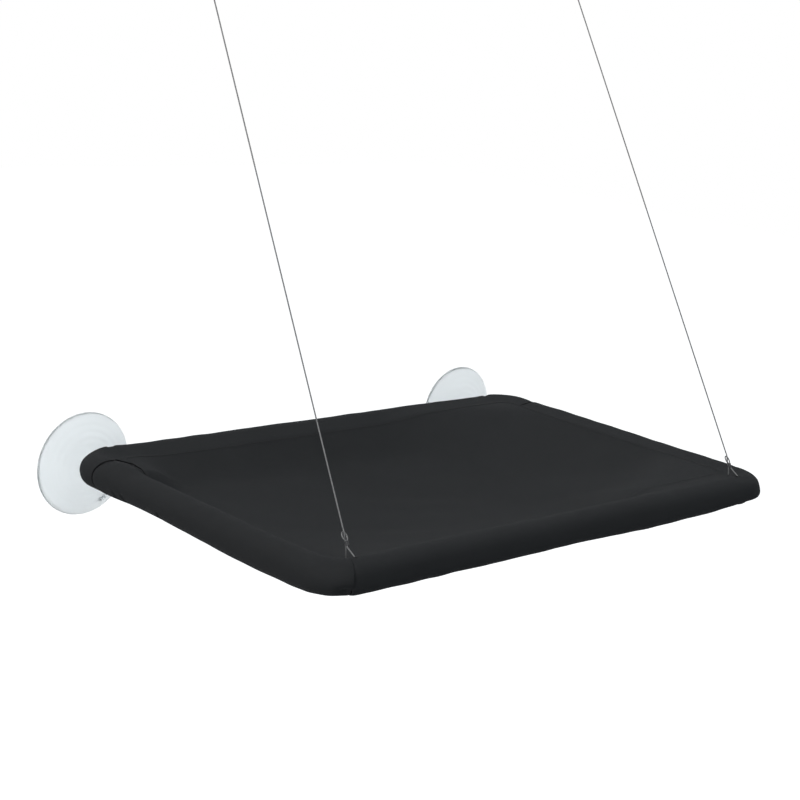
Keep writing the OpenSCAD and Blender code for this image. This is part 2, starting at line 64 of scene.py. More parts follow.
# The glass is the plane y = 0. Places of the tube axes, cups and studs follow the CAD frame.
TUBE_LOW, TUBE_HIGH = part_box("rear_tube")
REAR_Y = (TUBE_LOW[1] + TUBE_HIGH[1]) / 2
AXIS_Z = (TUBE_LOW[2] + TUBE_HIGH[2]) / 2
TUBE_RADIUS = (TUBE_HIGH[2] - TUBE_LOW[2]) / 2
FRONT_LOW, FRONT_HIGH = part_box("front_tube")
FRONT_Y = (FRONT_LOW[1] + FRONT_HIGH[1]) / 2
RIGHT_LOW, RIGHT_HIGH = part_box("right_tube")
SIDE_X = (RIGHT_LOW[0] + RIGHT_HIGH[0]) / 2
BEND = SIDE_X - FRONT_HIGH[0]
LOWER_CUP_X = sum(side[0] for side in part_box("lower_cup_right")) / 2
UPPER_CUP_X = sum(side[0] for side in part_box("upper_cup_right")) / 2
UPPER_CUP_Z = sum(side[2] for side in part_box("upper_stud_right")) / 2
CUP_RADIUS = (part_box("lower_cup_right")[1][0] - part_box("lower_cup_right")[0][0]) / 2
CUP_HEIGHT = -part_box("lower_cup_right")[0][1]
MIDDLE_Y = (REAR_Y + FRONT_Y) / 2
# As in the part's source: the studs, the rope's play round the tube, the gap between two strands and the
# wall of a ferrule, then how far the upper eyes lie past the cups' necks and bend below the studs
STUD_RADIUS = 3 * MM
TUBE_PLAY = 0.15 * MM
STRAND_GAP = 0.1 * MM
FERRULE_WALL = 0.5 * MM
EYE_PAST_NECK = 1.65 * MM
EYE_BEND_DROP = 7.6 * MM
# The right cable's free span in the part's source, in metres: its upper ferrule and its hitch
CABLE_ROUTE = ((0.2196, -0.0268, 0.611), (0.2405, -0.3573, 0.045))
# Steps of a span, of a turn round a tube or stud, of the small eye, and between points of a curve
SPAN_STEPS, TURN_STEPS, EYE_STEPS, CURVE_STEPS = 32, 14, 16, 6
# Steps of each corner of the tray
BEND_STEPS = 24
# Rows of the hem on the seat, in millimetres: distance from the seam and height over the middle of the cloth
HEM_ROWS = ((7, 0.1), (5, 0.5), (2.5, 0.8))
# The camera: place in metres, turns in radians, focal length and picture in pixels, sensor in millimetres
CAMERA_PLACE = (-1.1107, -1.3045, 0.4625)
CAMERA_YAW, CAMERA_PITCH, CAMERA_ROLL = -0.7697, -0.2391, 0.092
FOCAL_PIXELS, PICTURE_PIXELS, SENSOR_WIDTH = 1772.4, 800, 36
# Each light: name, place, width in metres, power in watts and colour. All are aimed at the tray.
LIGHT_AIM = (0.0, -0.2, 0.0)
LIGHTS = (
    ("Window Light", (0.4, 1.7, 1.6), 2.0, 8, (1.0, 0.98, 0.95)),
    ("Ceiling Light", (-0.1, -1.45, 2.3), 1.8, 20, (1.0, 0.98, 0.95)),
    ("Room Light", (-2.5, -0.5, 1.15), 1.1, 26, (1.0, 0.97, 0.94)),
)
FLOOR_Z, FLOOR_REACH = -0.62, 6


class PerchCover(bpy.types.PropertyGroup):
    """Sizes of the padded fabric cover"""
    roll_radius: FloatProperty(name="Roll radius", description="Radius of the padded sleeves",
        default=14.2 * MM, unit="LENGTH")
    seam_inset: FloatProperty(name="Seam inset", description="Distance from the tube axis to the sleeve seam",
        default=18 * MM, unit="LENGTH")
    seam_bend: FloatProperty(name="Seam corner", description="Corner radius of the sleeve seam",
        default=16 * MM, unit="LENGTH")
    seam_rise: FloatProperty(name="Seam height", description="Height of the seam over the tube axis",
        default=-5 * MM, unit="LENGTH")
    seam_rise_rear: FloatProperty(name="Seam height at rear",
        description="Height of the seam at the rear edge, where the seat slopes off the sleeve",
        default=7.5 * MM, unit="LENGTH")
    web_rise: FloatProperty(name="Web height", description="Height of the seam in the rear left corner",
        default=9.5 * MM, unit="LENGTH")
    seam_rise_right: FloatProperty(name="Seam height at right",
        description="Height of the seam at the right-hand edge, where the seat is pulled flat",
        default=11.5 * MM, unit="LENGTH")
    seat_sag: FloatProperty(name="Seat sag", description="Depth of the seat's hollow below the tube axis",
        default=30 * MM, unit="LENGTH")
    cloth: FloatProperty(name="Cloth", description="Thickness of the cloth", default=0.9 * MM, unit="LENGTH")
    cuff: FloatProperty(name="Cuff", description="Reach of the rear cuffs past the rear corners",
        default=24 * MM, unit="LENGTH")
    front_seam: FloatProperty(name="Front seam",
        description="Distance of the front left seam from the middle", default=247 * MM, unit="LENGTH")
    hitch_x: FloatProperty(name="Hitch", description="Distance of each cable hitch from the middle",
        default=240.5 * MM, unit="LENGTH")


class PerchRope(bpy.types.PropertyGroup):
    """Sizes of the wire ropes"""
    diameter: FloatProperty(name="Diameter", description="Diameter of the wire rope", default=1.2 * MM,
        unit="LENGTH")
    strands: IntProperty(name="Strands", description="Outer strands of the rope", default=6, min=3, max=9)
    lay: FloatProperty(name="Lay", description="Length in which a strand goes once round", default=9 * MM,
        unit="LENGTH")
    eye_length: FloatProperty(name="Eye length", description="Length of the small eye of the hitch",
        default=7.4 * MM, unit="LENGTH")
    eye_width: FloatProperty(name="Eye width", description="Width of the small eye between its strands",
        default=4.4 * MM, unit="LENGTH")
    hitch_reach: FloatProperty(name="Hitch reach",
        description="Distance from the tube axis to the lower ferrule", default=23.5 * MM, unit="LENGTH")
    ferrule: FloatProperty(name="Ferrule", description="Length of a crimped ferrule", default=3.6 * MM,
        unit="LENGTH")


class PerchFinish(bpy.types.PropertyGroup):
    """Colours of the finishes"""
    cloth: FloatVectorProperty(name="Cloth", description="Matt black cover cloth", subtype="COLOR",
        default=(0.031, 0.0315, 0.0325))
    thread: FloatVectorProperty(name="Thread", description="Sewing thread", subtype="COLOR",
        default=(0.042, 0.042, 0.043))
    # This near-black colour, far darker than the cloth, is painted shade of the crease along each mitred
    # seam.
    crease_shade_binding: FloatVectorProperty(name="Binding", description="Black binding of the mitred seams",
        subtype="COLOR", default=(0.006, 0.006, 0.007))
    vinyl: FloatVectorProperty(name="Vinyl", description="Milky vinyl of the cups", subtype="COLOR",
        default=(0.9, 0.94, 0.955))
    rope: FloatVectorProperty(name="Rope", description="Drawn steel wire", subtype="COLOR",
        default=(0.16, 0.162, 0.166))
    crimp: FloatVectorProperty(name="Crimp", description="Dull crimped ferrules", subtype="COLOR",
        default=(0.06, 0.06, 0.063))
    zinc: FloatVectorProperty(name="Zinc", description="Zinc plated steel", subtype="COLOR",
        default=(0.56, 0.57, 0.58))
    moulding: FloatVectorProperty(name="Moulding", description="Black moulded nylon", subtype="COLOR",
        default=(0.02, 0.02, 0.022))
    nylon: FloatVectorProperty(name="Nylon", description="Clear nylon of the nuts", subtype="COLOR",
        default=(0.72, 0.76, 0.77))


# Mesh making


def add_mesh(name, points, faces, smooth=True):
    """A new object from points in the row frame."""
    mesh = bpy.data.meshes.new(name)
    mesh.from_pydata([tuple(float(c) for c in p) for p in points], [], faces)
    mesh.validate()
    mesh.update()
    if smooth:
        mesh.polygons.foreach_set("use_smooth", [True] * len(mesh.polygons))
    piece = bpy.data.objects.new(name, mesh)
    bpy.context.scene.collection.objects.link(piece)
    return piece


def add_uv(piece, values):
    """Writes one UV pair for each point of the mesh, in metres of cloth."""
    layer = piece.data.uv_layers.new(name="Cloth")
    for loop in piece.data.loops:
        layer.data[loop.index].uv = values[loop.vertex_index]


def rise_between(a, b, x):
    """0 up to a, 1 from b on, and a smooth rise between them."""
    t = np.clip((x - a) / (b - a), 0, 1)
    return t * t * (3 - 2 * t)


def hump(x, middle, width):
    """A smooth bump of height 1."""
    return np.exp(-((x - middle) / width) ** 2)


def mix(a, b, share):
    """The value at a share of the way from a to b."""
    return a + (b - a) * share


def fuller(value):
    """A sine or cosine made fuller, for an oval with flatter sides."""
    return math.copysign(abs(value) ** 0.8, value)


def spline(points, per_span):
    """Points along a smooth curve through the given ones."""
    p = [Vector(q) for q in points]
    p = [2 * p[0] - p[1]] + p + [2 * p[-1] - p[-2]]
    out = []
    for i in range(1, len(p) - 2):
        a, b, c, d = p[i - 1:i + 3]
        for k in range(per_span):
            t = k / per_span
            out.append(0.5 * (2 * b + (c - a) * t + (2 * a - 5 * b + 4 * c - d) * t * t
                + (3 * b - a - 3 * c + d) * t ** 3))
    out.append(p[-2])
    return out


def resample(points, step):
    """Points at an even spacing along a line, with both ends kept."""
    gaps = [(b - a).length for a, b in zip(points, points[1:])]
    count = max(2, round(sum(gaps) / step))
    out, i, walked = [points[0].copy()], 0, 0.0
    for k in range(1, count):
        want = sum(gaps) * k / count
        while walked + gaps[i] < want:
            walked += gaps[i]
            i += 1
        out.append(points[i].lerp(points[i + 1], (want - walked) / gaps[i]))
    return out + [points[-1].copy()]


def along(points, first):
    """(point, tangent, normal, binormal) at each point, carried along without twist."""
    normal = Vector(first)
    out = []
    for i, p in enumerate(points):
        tangent = (points[min(i + 1, len(points) - 1)] - points[max(i - 1, 0)]).normalized()
        normal = (normal - normal.dot(tangent) * tangent).normalized()
        out.append((p, tangent, normal.copy(), tangent.cross(normal)))
    return out


def circle(middle, u, v, radius, sides):
    """Points round a middle, in the plane of u and v."""
    turns = [2 * math.pi * k / sides for k in range(sides)]
    return [middle + radius * (math.cos(a) * u + math.sin(a) * v) for a in turns]


def tube_faces(rings, sides, first=0, capped=True, closed=False):
    """Faces of a tube whose rings follow each other, with a cap at each end or with its ends joined."""
    faces = []
    for i in range(rings if closed else rings - 1):
        here, there = first + i * sides, first + (i + 1) % rings * sides
        for k in range(sides):
            n = (k + 1) % sides
            faces.append((here + k, here + n, there + n, there + k))
    if capped and not closed:
        faces.append(tuple(range(first + sides - 1, first - 1, -1)))
        faces.append(tuple(range(first + (rings - 1) * sides, first + rings * sides)))
    return faces


def add_rope(name, route, rope, first=(1, 0, 0)):
    """Stranded wire rope along a route, its strands laid round the core."""
    sides = 4 * rope.strands
    ring_step = 0.55 * MM
    line = resample(route, ring_step)
    points, run = [], 0.0
    previous = line[0]
    for p, tangent, normal, binormal in along(line, first):
        run += (p - previous).length
        previous = p
        for k in range(sides):
            angle = 2 * math.pi * k / sides
            lobe = abs(math.cos(rope.strands * angle / 2))
            radius = rope.diameter / 2 * (0.8 + 0.2 * lobe ** 0.6)
            spin = angle + 2 * math.pi * run / rope.lay
            points.append(p + radius * (math.cos(spin) * normal + math.sin(spin) * binormal))
    return add_mesh(name, points, tube_faces(len(line), sides))


def revolve(profile, sides, closed=False):
    """Points and faces of an outline turned about z. The outline is (radius, height) pairs."""
    turns = [2 * math.pi * k / sides for k in range(sides)]
    points = [(radius * math.cos(a), radius * math.sin(a), height)
        for radius, height in profile for a in turns]
    return points, tube_faces(len(profile), sides, capped=False, closed=closed)


def on_glass(x, z):
    """Frame of a cup: z from the glass into the room, x to the right, y up."""
    return Matrix.Translation((x, 0, z)) @ Matrix.Rotation(math.pi / 2, 4, "X")


# Shader making


class Nodes:
    """The nodes of a material, a world or a group, with short calls to add and link them."""

    def __init__(self, tree):
        self.tree = tree

    def add(self, kind, links=None, **values):
        """A new node: its settings by name, and for each socket a value or the output that feeds it."""
        item = self.tree.nodes.new(kind)
        for key, value in values.items():
            setattr(item, key, value)
        for socket, source in (links or {}).items():
            target = item.inputs[socket]
            if isinstance(source, bpy.types.NodeSocket):
                self.tree.links.new(source, target)
            else:
                target.default_value = source
        return item

    def math(self, operation, a, b=0.0):
        """The result of a sum on one or two values."""
        return self.add("ShaderNodeMath", {0: a, 1: b}, operation=operation).outputs[0]

    def ramp(self, factor, *stops):
        """Greys at stops along a factor."""
        item = self.add("ShaderNodeValToRGB", {"Fac": factor})
        elements = item.color_ramp.elements
        while len(elements) < len(stops):
            elements.new(0.5)
        for element, (place, grey) in zip(elements, stops):
            element.position = place
            element.color = (grey, grey, grey, 1)
        return item.outputs["Color"]


def new_group(name, inputs, outputs):
    """A shader node group with named sockets, and its nodes."""
    tree = bpy.data.node_groups.new(name, "ShaderNodeTree")
    for label, kind, value in inputs:
        socket = tree.interface.new_socket(label, in_out="INPUT", socket_type=kind)
        socket.default_value = value
    for label, kind in outputs:
        tree.interface.new_socket(label, in_out="OUTPUT", socket_type=kind)
    nodes = Nodes(tree)
    return nodes, nodes.add("NodeGroupInput").outputs, nodes.add("NodeGroupOutput")


def cloth_weave_group():
    """Plain weave of fine yarn, worked out from the cloth's own lengthways and crossways places."""
    nodes, given, out = new_group("Cloth Weave",
        [("Yarn", "NodeSocketFloat", 0.6 * MM), ("Depth", "NodeSocketFloat", 1.0)],
        [("Height", "NodeSocketFloat"), ("Shade", "NodeSocketFloat")])
    place = nodes.add("ShaderNodeUVMap", uv_map="Cloth").outputs["UV"]
    drift = nodes.add("ShaderNodeTexNoise", {"Vector": place, "Scale": 90.0, "Detail": 2.0}).outputs["Fac"]
    parts = nodes.add("ShaderNodeSeparateXYZ", {0: place}).outputs
    u = nodes.math("ADD", nodes.math("DIVIDE", parts[0], given["Yarn"]), nodes.math("MULTIPLY", drift, 1.6))
    v = nodes.math("ADD", nodes.math("DIVIDE", parts[1], given["Yarn"]), nodes.math("MULTIPLY", drift, 1.6))
    warp = nodes.math("ABSOLUTE", nodes.math("SINE", nodes.math("MULTIPLY", u, math.pi)))
    weft = nodes.math("ABSOLUTE", nodes.math("SINE", nodes.math("MULTIPLY", v, math.pi)))
    over = nodes.math("MODULO", nodes.math("ADD", nodes.math("FLOOR", u), nodes.math("FLOOR", v)), 2.0)
    over = nodes.math("ABSOLUTE", over)
    height = nodes.add("ShaderNodeMix", {"Factor": over, "A": warp, "B": weft}, data_type="FLOAT").outputs[0]
    nodes.tree.links.new(nodes.math("MULTIPLY", height, given["Depth"]), out.inputs["Height"])
    # The Shade output is the yarn's height again, used as painted shade: dark between the yarns and light on
    # their crowns.
    nodes.tree.links.new(height, out.inputs["Shade"])
    return nodes.tree


def surface_wear_group():
    """Cloudy variation and fine grain of a moulded, plated or painted surface."""
    nodes, given, out = new_group("Surface Wear",
        [("Cloud Scale", "NodeSocketFloat", 40.0), ("Grain Scale", "NodeSocketFloat", 900.0)],
        [("Cloud", "NodeSocketFloat"), ("Grain", "NodeSocketFloat")])
    place = nodes.add("ShaderNodeTexCoord").outputs["Object"]
    cloud = nodes.add("ShaderNodeTexNoise", {"Vector": place, "Scale": given["Cloud Scale"], "Detail": 4.0,
        "Roughness": 0.6}).outputs["Fac"]
    grain = nodes.add("ShaderNodeTexNoise", {"Vector": place, "Scale": given["Grain Scale"],
        "Detail": 2.0}).outputs["Fac"]
    nodes.tree.links.new(cloud, out.inputs["Cloud"])
    nodes.tree.links.new(grain, out.inputs["Grain"])
    return nodes.tree


def get_group(name, make):
    """The node group of a name, made when it is first asked for."""
    return bpy.data.node_groups.get(name) or make()


def add_wear(nodes, cloud, grain=900.0):
    """Places the surface wear in a material with its own scales."""
    tree = get_group("Surface Wear", surface_wear_group)
    return nodes.add("ShaderNodeGroup", {"Cloud Scale": cloud, "Grain Scale": grain}, node_tree=tree).outputs


def new_material(name, **sockets):
    """A material with its Principled shader, constants set on the shader's own sockets."""
    material = bpy.data.materials.new(name)
    material.use_nodes = True
    nodes = Nodes(material.node_tree)
    shader = material.node_tree.nodes["Principled BSDF"]
    for key, value in sockets.items():
        shader.inputs[key.replace("_", " ")].default_value = value
    return material, nodes, shader


def tint(nodes, colour, darker, lighter, factor):
    """The colour between a darker and a lighter shade of itself."""
    low = [c * darker for c in colour] + [1]
    high = [min(1, c * lighter) for c in colour] + [1]
    return nodes.add("ShaderNodeMix", {"Factor": factor, "A": low, "B": high},
        data_type="RGBA").outputs["Result"]


def bump(nodes, shader, height, distance, strength=1.0):
    """Turns a height into relief of the surface."""
    item = nodes.add("ShaderNodeBump", {"Height": height, "Distance": distance, "Strength": strength})
    nodes.tree.links.new(item.outputs["Normal"], shader.inputs["Normal"])


def cloth_material(finish):
    """Matt black coated cloth, a little blue where it catches the light."""
    if bpy.data.materials.get("Cover Cloth"):
        return bpy.data.materials["Cover Cloth"]
    material, nodes, shader = new_material("Cover Cloth", Specular_IOR_Level=0.01, Sheen_Weight=0.01,
        Sheen_Roughness=0.45, Sheen_Tint=(0.8, 0.88, 1.0, 1.0))
    weave = nodes.add("ShaderNodeGroup", {"Yarn": 0.55 * MM},
        node_tree=get_group("Cloth Weave", cloth_weave_group)).outputs
    wear = add_wear(nodes, 16.0)
    # Painted shade of the weave, darker between the yarns and lighter on their crowns, mixed with a random
    # drift of tone from the cloud.
    shade = nodes.math("ADD", nodes.math("MULTIPLY", weave["Shade"], 0.5),
        nodes.math("MULTIPLY", wear["Cloud"], 0.5))
    nodes.tree.links.new(tint(nodes, finish.cloth, 0.7, 1.45, shade), shader.inputs["Base Color"])
    nodes.tree.links.new(nodes.ramp(wear["Cloud"], (0.3, 0.62), (0.7, 0.74)), shader.inputs["Roughness"])
    bump(nodes, shader, weave["Height"], 0.12 * MM, 0.6)
    return material


def plain_material(name, colour, rough, cloud=40.0, grain=900.0, depth=0.02 * MM, metallic=0.0,
        contrast=0.12, **sockets):
    """A material whose colour and roughness drift a little and whose surface has a fine grain."""
    if bpy.data.materials.get(name):
        return bpy.data.materials[name]
    material, nodes, shader = new_material(name, Metallic=metallic, **sockets)
    wear = add_wear(nodes, cloud, grain)
    nodes.tree.links.new(tint(nodes, colour, 1 - contrast, 1 + contrast, wear["Cloud"]),
        shader.inputs["Base Color"])
    nodes.tree.links.new(nodes.ramp(wear["Cloud"], (0.3, rough * 0.8), (0.7, min(1, rough * 1.2))),
        shader.inputs["Roughness"])
    bump(nodes, shader, wear["Grain"], depth)
    return material


def finish_node(name, material):
    """Gives a CAD node its finish."""
    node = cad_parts[name]
    node.data.materials.clear()
    node.data.materials.append(material)


# Pieces


def dress(piece, material, node=None, body=None):
    """Gives a piece its finish and slot, the CAD node it stands for and the body it rides on."""
    piece.data.materials.append(material)
    if node:
        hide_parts(node)
    if body:
        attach(piece, body)


def pull_axes():
    """Directions along the cables' pull and across it, and the bend of the upper eyes at x = 0."""
    bend_y = -CUP_HEIGHT - EYE_PAST_NECK
    bend_z = UPPER_CUP_Z - EYE_BEND_DROP
    pull = Vector((0, bend_y - FRONT_Y, bend_z - AXIS_Z)).normalized()
    return pull, Vector((0, -pull.z, pull.y)), Vector((0, bend_y, bend_z))


class PERCH_OT_stage(bpy.types.Operator):
    """Adds the camera, the soft lights, the floor and the backdrop"""
    bl_idname = "perch.stage"
    bl_label = "Stage"

    def execute(self, context):
        scene = context.scene
        scene.view_settings.view_transform = "Standard"
        self.add_camera(scene)
        for name, place, size, power, colour in LIGHTS:
            self.add_light(scene, name, place, size, power, colour)
        self.add_world(scene)
        self.add_floor()
        return {"FINISHED"}

    def add_camera(self, scene):
        """Stands the camera where the photograph was taken from."""
        ahead = Vector((-math.sin(CAMERA_YAW) * math.cos(CAMERA_PITCH),
            math.cos(CAMERA_YAW) * math.cos(CAMERA_PITCH), math.sin(CAMERA_PITCH)))
        right = ahead.cross(Vector((0, 0, 1))).normalized()
        up = right.cross(ahead)
        across = right * math.cos(CAMERA_ROLL) + up * math.sin(CAMERA_ROLL)
        upward = up * math.cos(CAMERA_ROLL) - right * math.sin(CAMERA_ROLL)
        lens = bpy.data.cameras.new("Camera")
        lens.lens = FOCAL_PIXELS / PICTURE_PIXELS * SENSOR_WIDTH
        lens.sensor_width = SENSOR_WIDTH
        lens.clip_end = 50
        camera = bpy.data.objects.new("Camera", lens)
        turn = Matrix((across, upward, -ahead)).transposed().to_4x4()
        camera.matrix_world = Matrix.Translation(CAMERA_PLACE) @ turn
        scene.collection.objects.link(camera)
        scene.camera = camera

    def add_light(self, scene, name, place, size, power, colour):
        """A soft round light, aimed at the tray."""
        data = bpy.data.lights.new(name, "AREA")
        data.shape = "DISK"
        data.size = size
        data.energy = power
        data.color = colour
        lamp = bpy.data.objects.new(name, data)
        lamp.location = place
        lamp.rotation_euler = (Vector(LIGHT_AIM) - Vector(place)).to_track_quat("-Z", "Y").to_euler()
        scene.collection.objects.link(lamp)

    def seen(self, nodes):
        """1 for the rays that show the backdrop: camera, glossy and transmission rays."""
        rays = nodes.add("ShaderNodeLightPath").outputs
        shown = nodes.math("MAXIMUM", rays["Is Camera Ray"], rays["Is Glossy Ray"])
        return nodes.math("MAXIMUM", shown, rays["Is Transmission Ray"])

    def add_world(self, scene):
        """Cool, dim daylight from all round, white where it is seen."""
        world = bpy.data.worlds.new("Pale Room")
        world.use_nodes = True
        nodes = Nodes(world.node_tree)
        world.node_tree.nodes.clear()
        level = nodes.add("ShaderNodeMix", {"Factor": self.seen(nodes), "A": (0.2, 0.245, 0.28, 1),
            "B": (1, 1, 1, 1)}, data_type="RGBA")
        light = nodes.add("ShaderNodeBackground", {"Color": level.outputs["Result"], "Strength": 1.0})
        nodes.add("ShaderNodeOutputWorld", {"Surface": light.outputs[0]})
        scene.world = world

    def add_floor(self):
        """A plain grey floor that is white where it is seen."""
        corners = [(x * FLOOR_REACH, y * FLOOR_REACH, FLOOR_Z)
            for x, y in ((-1, -1), (1, -1), (1, 1), (-1, 1))]
        floor = add_mesh("floor", corners, [(0, 1, 2, 3)], False)
        material, nodes, shader = new_material("Pale Floor", Roughness=0.9, Specular_IOR_Level=0.1,
            Base_Color=(0.45, 0.45, 0.45, 1))
        glow = nodes.add("ShaderNodeEmission", {"Color": (1, 1, 1, 1), "Strength": 0.92})
        plus = nodes.add("ShaderNodeAddShader", {0: shader.outputs[0], 1: glow.outputs[0]})
        both = nodes.add("ShaderNodeMixShader", {0: self.seen(nodes), 1: shader.outputs[0],
            2: plus.outputs[0]})
        out = material.node_tree.nodes["Material Output"]
        nodes.tree.links.new(both.outputs[0], out.inputs["Surface"])
        floor.data.materials.append(material)


class PERCH_OT_cables(bpy.types.Operator):
    """Adds the wire ropes: free spans, hitches round the front tube, eyes round the studs and ferrules"""
    bl_idname = "perch.cables"
    bl_label = "Cables"

    def execute(self, context):
        rope, finish = context.scene.perch_rope, context.scene.perch_finish
        steel = plain_material("Drawn Steel Wire", finish.rope, 0.45, 300.0, 2500.0, metallic=0.6,
            contrast=0.3, Specular_IOR_Level=0.3)
        crimp = plain_material("Crimped Ferrule", finish.crimp, 0.5, 500.0, 1800.0, metallic=0.4,
            contrast=0.2, Specular_IOR_Level=0.2)
        for label, side in SIDES:
            ends = [Vector((side * x, y, z)) for x, y, z in CABLE_ROUTE]
            line = [ends[0].lerp(ends[1], k / SPAN_STEPS) for k in range(SPAN_STEPS + 1)]
            span = add_rope(f"rope_span_{label}", line, rope)
            dress(span, steel, f"cable_{label}")
            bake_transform(span)
            self.add_hitch(label, side, rope, steel, crimp)
            self.add_eye(label, side, rope, steel, crimp)
        return {"FINISHED"}

    def add_hitch(self, label, side, rope, steel, crimp):
        """The rope goes through its own eye and round the tube, then up a ferrule to form that eye."""
        pull, across, _ = pull_axes()
        centre = Vector((side * bpy.context.scene.perch_cover.hitch_x, FRONT_Y, AXIS_Z))

        def place(u, v, w):
            return centre + u * pull + v * across + Vector((side * w, 0, 0))

        r = rope.diameter / 2
        turn_r, strand_x = TUBE_RADIUS + r + TUBE_PLAY, r + STRAND_GAP / 2
        # Straight runs into the eye and below the ferrule, then the room beside it and the eye's lean
        lead, leg = 2.4 * MM, 2.5 * MM
        clear, lean = 2 * r + FERRULE_WALL + STRAND_GAP, 2 * r + 2 * STRAND_GAP
        reach, eye_from = rope.hitch_reach, rope.hitch_reach + rope.ferrule
        eye_mid, eye_to = eye_from + rope.eye_length / 2, eye_from + rope.eye_length
        open_angle = math.acos(turn_r / reach)
        route = [place(eye_to + lead, 0, 0), place(eye_to, 0, 0), place(eye_from, -clear, 0),
            place(reach, -clear - r, 0)]
        for i in range(TURN_STEPS + 1):
            a = -open_angle - i * (2 * math.pi - 2 * open_angle) / TURN_STEPS
            route.append(place(turn_r * math.cos(a), turn_r * math.sin(a), 0))
        route += [place(reach - leg, r, strand_x), place(reach, 0, strand_x), place(eye_from, 0, strand_x)]
        for i in range(1, EYE_STEPS):
            a = 2 * math.pi * i / EYE_STEPS
            route.append(place(eye_mid - rope.eye_length / 2 * math.cos(a), -lean * (1 - math.cos(a)) / 2,
                rope.eye_width / 2 * math.sin(a)))
        route += [place(eye_from, 0, -strand_x), place(reach, 0, -strand_x)]
        hitch = add_rope(f"rope_hitch_{label}", spline(route, CURVE_STEPS), rope)
        dress(hitch, steel, f"hitch_{label}", "tray")
        ferrule = self.add_ferrule(f"crimp_lower_{label}", place(reach, 0, 0), pull, rope, strand_x)
        dress(ferrule, crimp, f"lower_ferrule_{label}", "tray")

    def add_eye(self, label, side, rope, steel, crimp):
        """The upper eye round its stud, with its two strands drawn together into a ferrule."""
        pull, _, bend = pull_axes()
        r = rope.diameter / 2
        strand_x = r + STRAND_GAP / 2
        # Play round the stud, distance of the strands from the middle at the bend, and run to the ferrule
        play, apart, lead = 0.06 * MM, 1.2 * MM, 2.5 * MM
        centre = Vector((side * UPPER_CUP_X, bend.y, UPPER_CUP_Z))
        corner = Vector((side * UPPER_CUP_X, bend.y, bend.z))
        top = corner - lead * pull
        foot = top - rope.ferrule * pull
        turn_r = STUD_RADIUS + r + play
        start = math.acos(turn_r / (centre.z - top.z))
        shift = Vector((side * strand_x, 0, 0))
        near = Vector((side * apart, 0, 0))
        route = [foot + shift, top + shift, corner + near]
        for i in range(TURN_STEPS + 1):
            a = start + i * (2 * math.pi - 2 * start) / TURN_STEPS
            route.append(centre + turn_r * Vector((side * math.sin(a), 0, -math.cos(a))))
        route += [corner - near, top - shift, foot - shift]
        eye = add_rope(f"rope_eye_{label}", spline(route, CURVE_STEPS), rope, first=(0, 1, 0))
        dress(eye, steel, f"upper_eye_{label}", "window_set")
        ferrule = self.add_ferrule(f"crimp_upper_{label}", top, -pull, rope, strand_x)
        dress(ferrule, crimp, f"upper_ferrule_{label}", "window_set")

    def add_ferrule(self, name, start, ahead, rope, strand_x):
        """Oval sleeve with rolled ends, pressed in at its middle in two bites."""
        rings, sides = 25, 32
        thick = rope.diameter / 2 + FERRULE_WALL
        wide = strand_x + thick
        # The bites and the rolled ends, as shares of the ferrule's length and thickness
        bite_places, bite_width, bite_depth = (0.32, 0.68), 0.1, 0.2
        edge_length, edge_depth = 0.08, 0.25
        side = Vector((1, 0, 0))
        flat = ahead.cross(side).normalized()
        points = []
        for i in range(rings):
            t = i / (rings - 1)
            bite = sum(hump(t, place, bite_width) for place in bite_places)
            edge = 1 - edge_depth * (1 - rise_between(0, edge_length, min(t, 1 - t)))
            for k in range(sides):
                a = 2 * math.pi * k / sides
                x = fuller(math.cos(a)) * wide * edge
                y = fuller(math.sin(a)) * thick * edge * (1 - bite_depth * bite)
                points.append(start + ahead * rope.ferrule * t + side * x + flat * y)
        return add_mesh(name, points, tube_faces(rings, sides))


def soft_noise(x, y, seed, waves=7):
    """Smooth random waves, 1 to 3 units long and mostly between -1 and 1."""
    random = np.random.RandomState(seed)
    out = 0
    for _ in range(waves):
        angle, phase, stretch = random.rand(3) * (2 * math.pi, 2 * math.pi, 1.2)
        across = (math.cos(angle) * x + math.sin(angle) * y) * (2 + 3 * stretch)
        out = out + np.sin(across + phase + 0.6 * np.sin(2.3 * y + 1.7 * x + phase))
    return out / math.sqrt(waves)


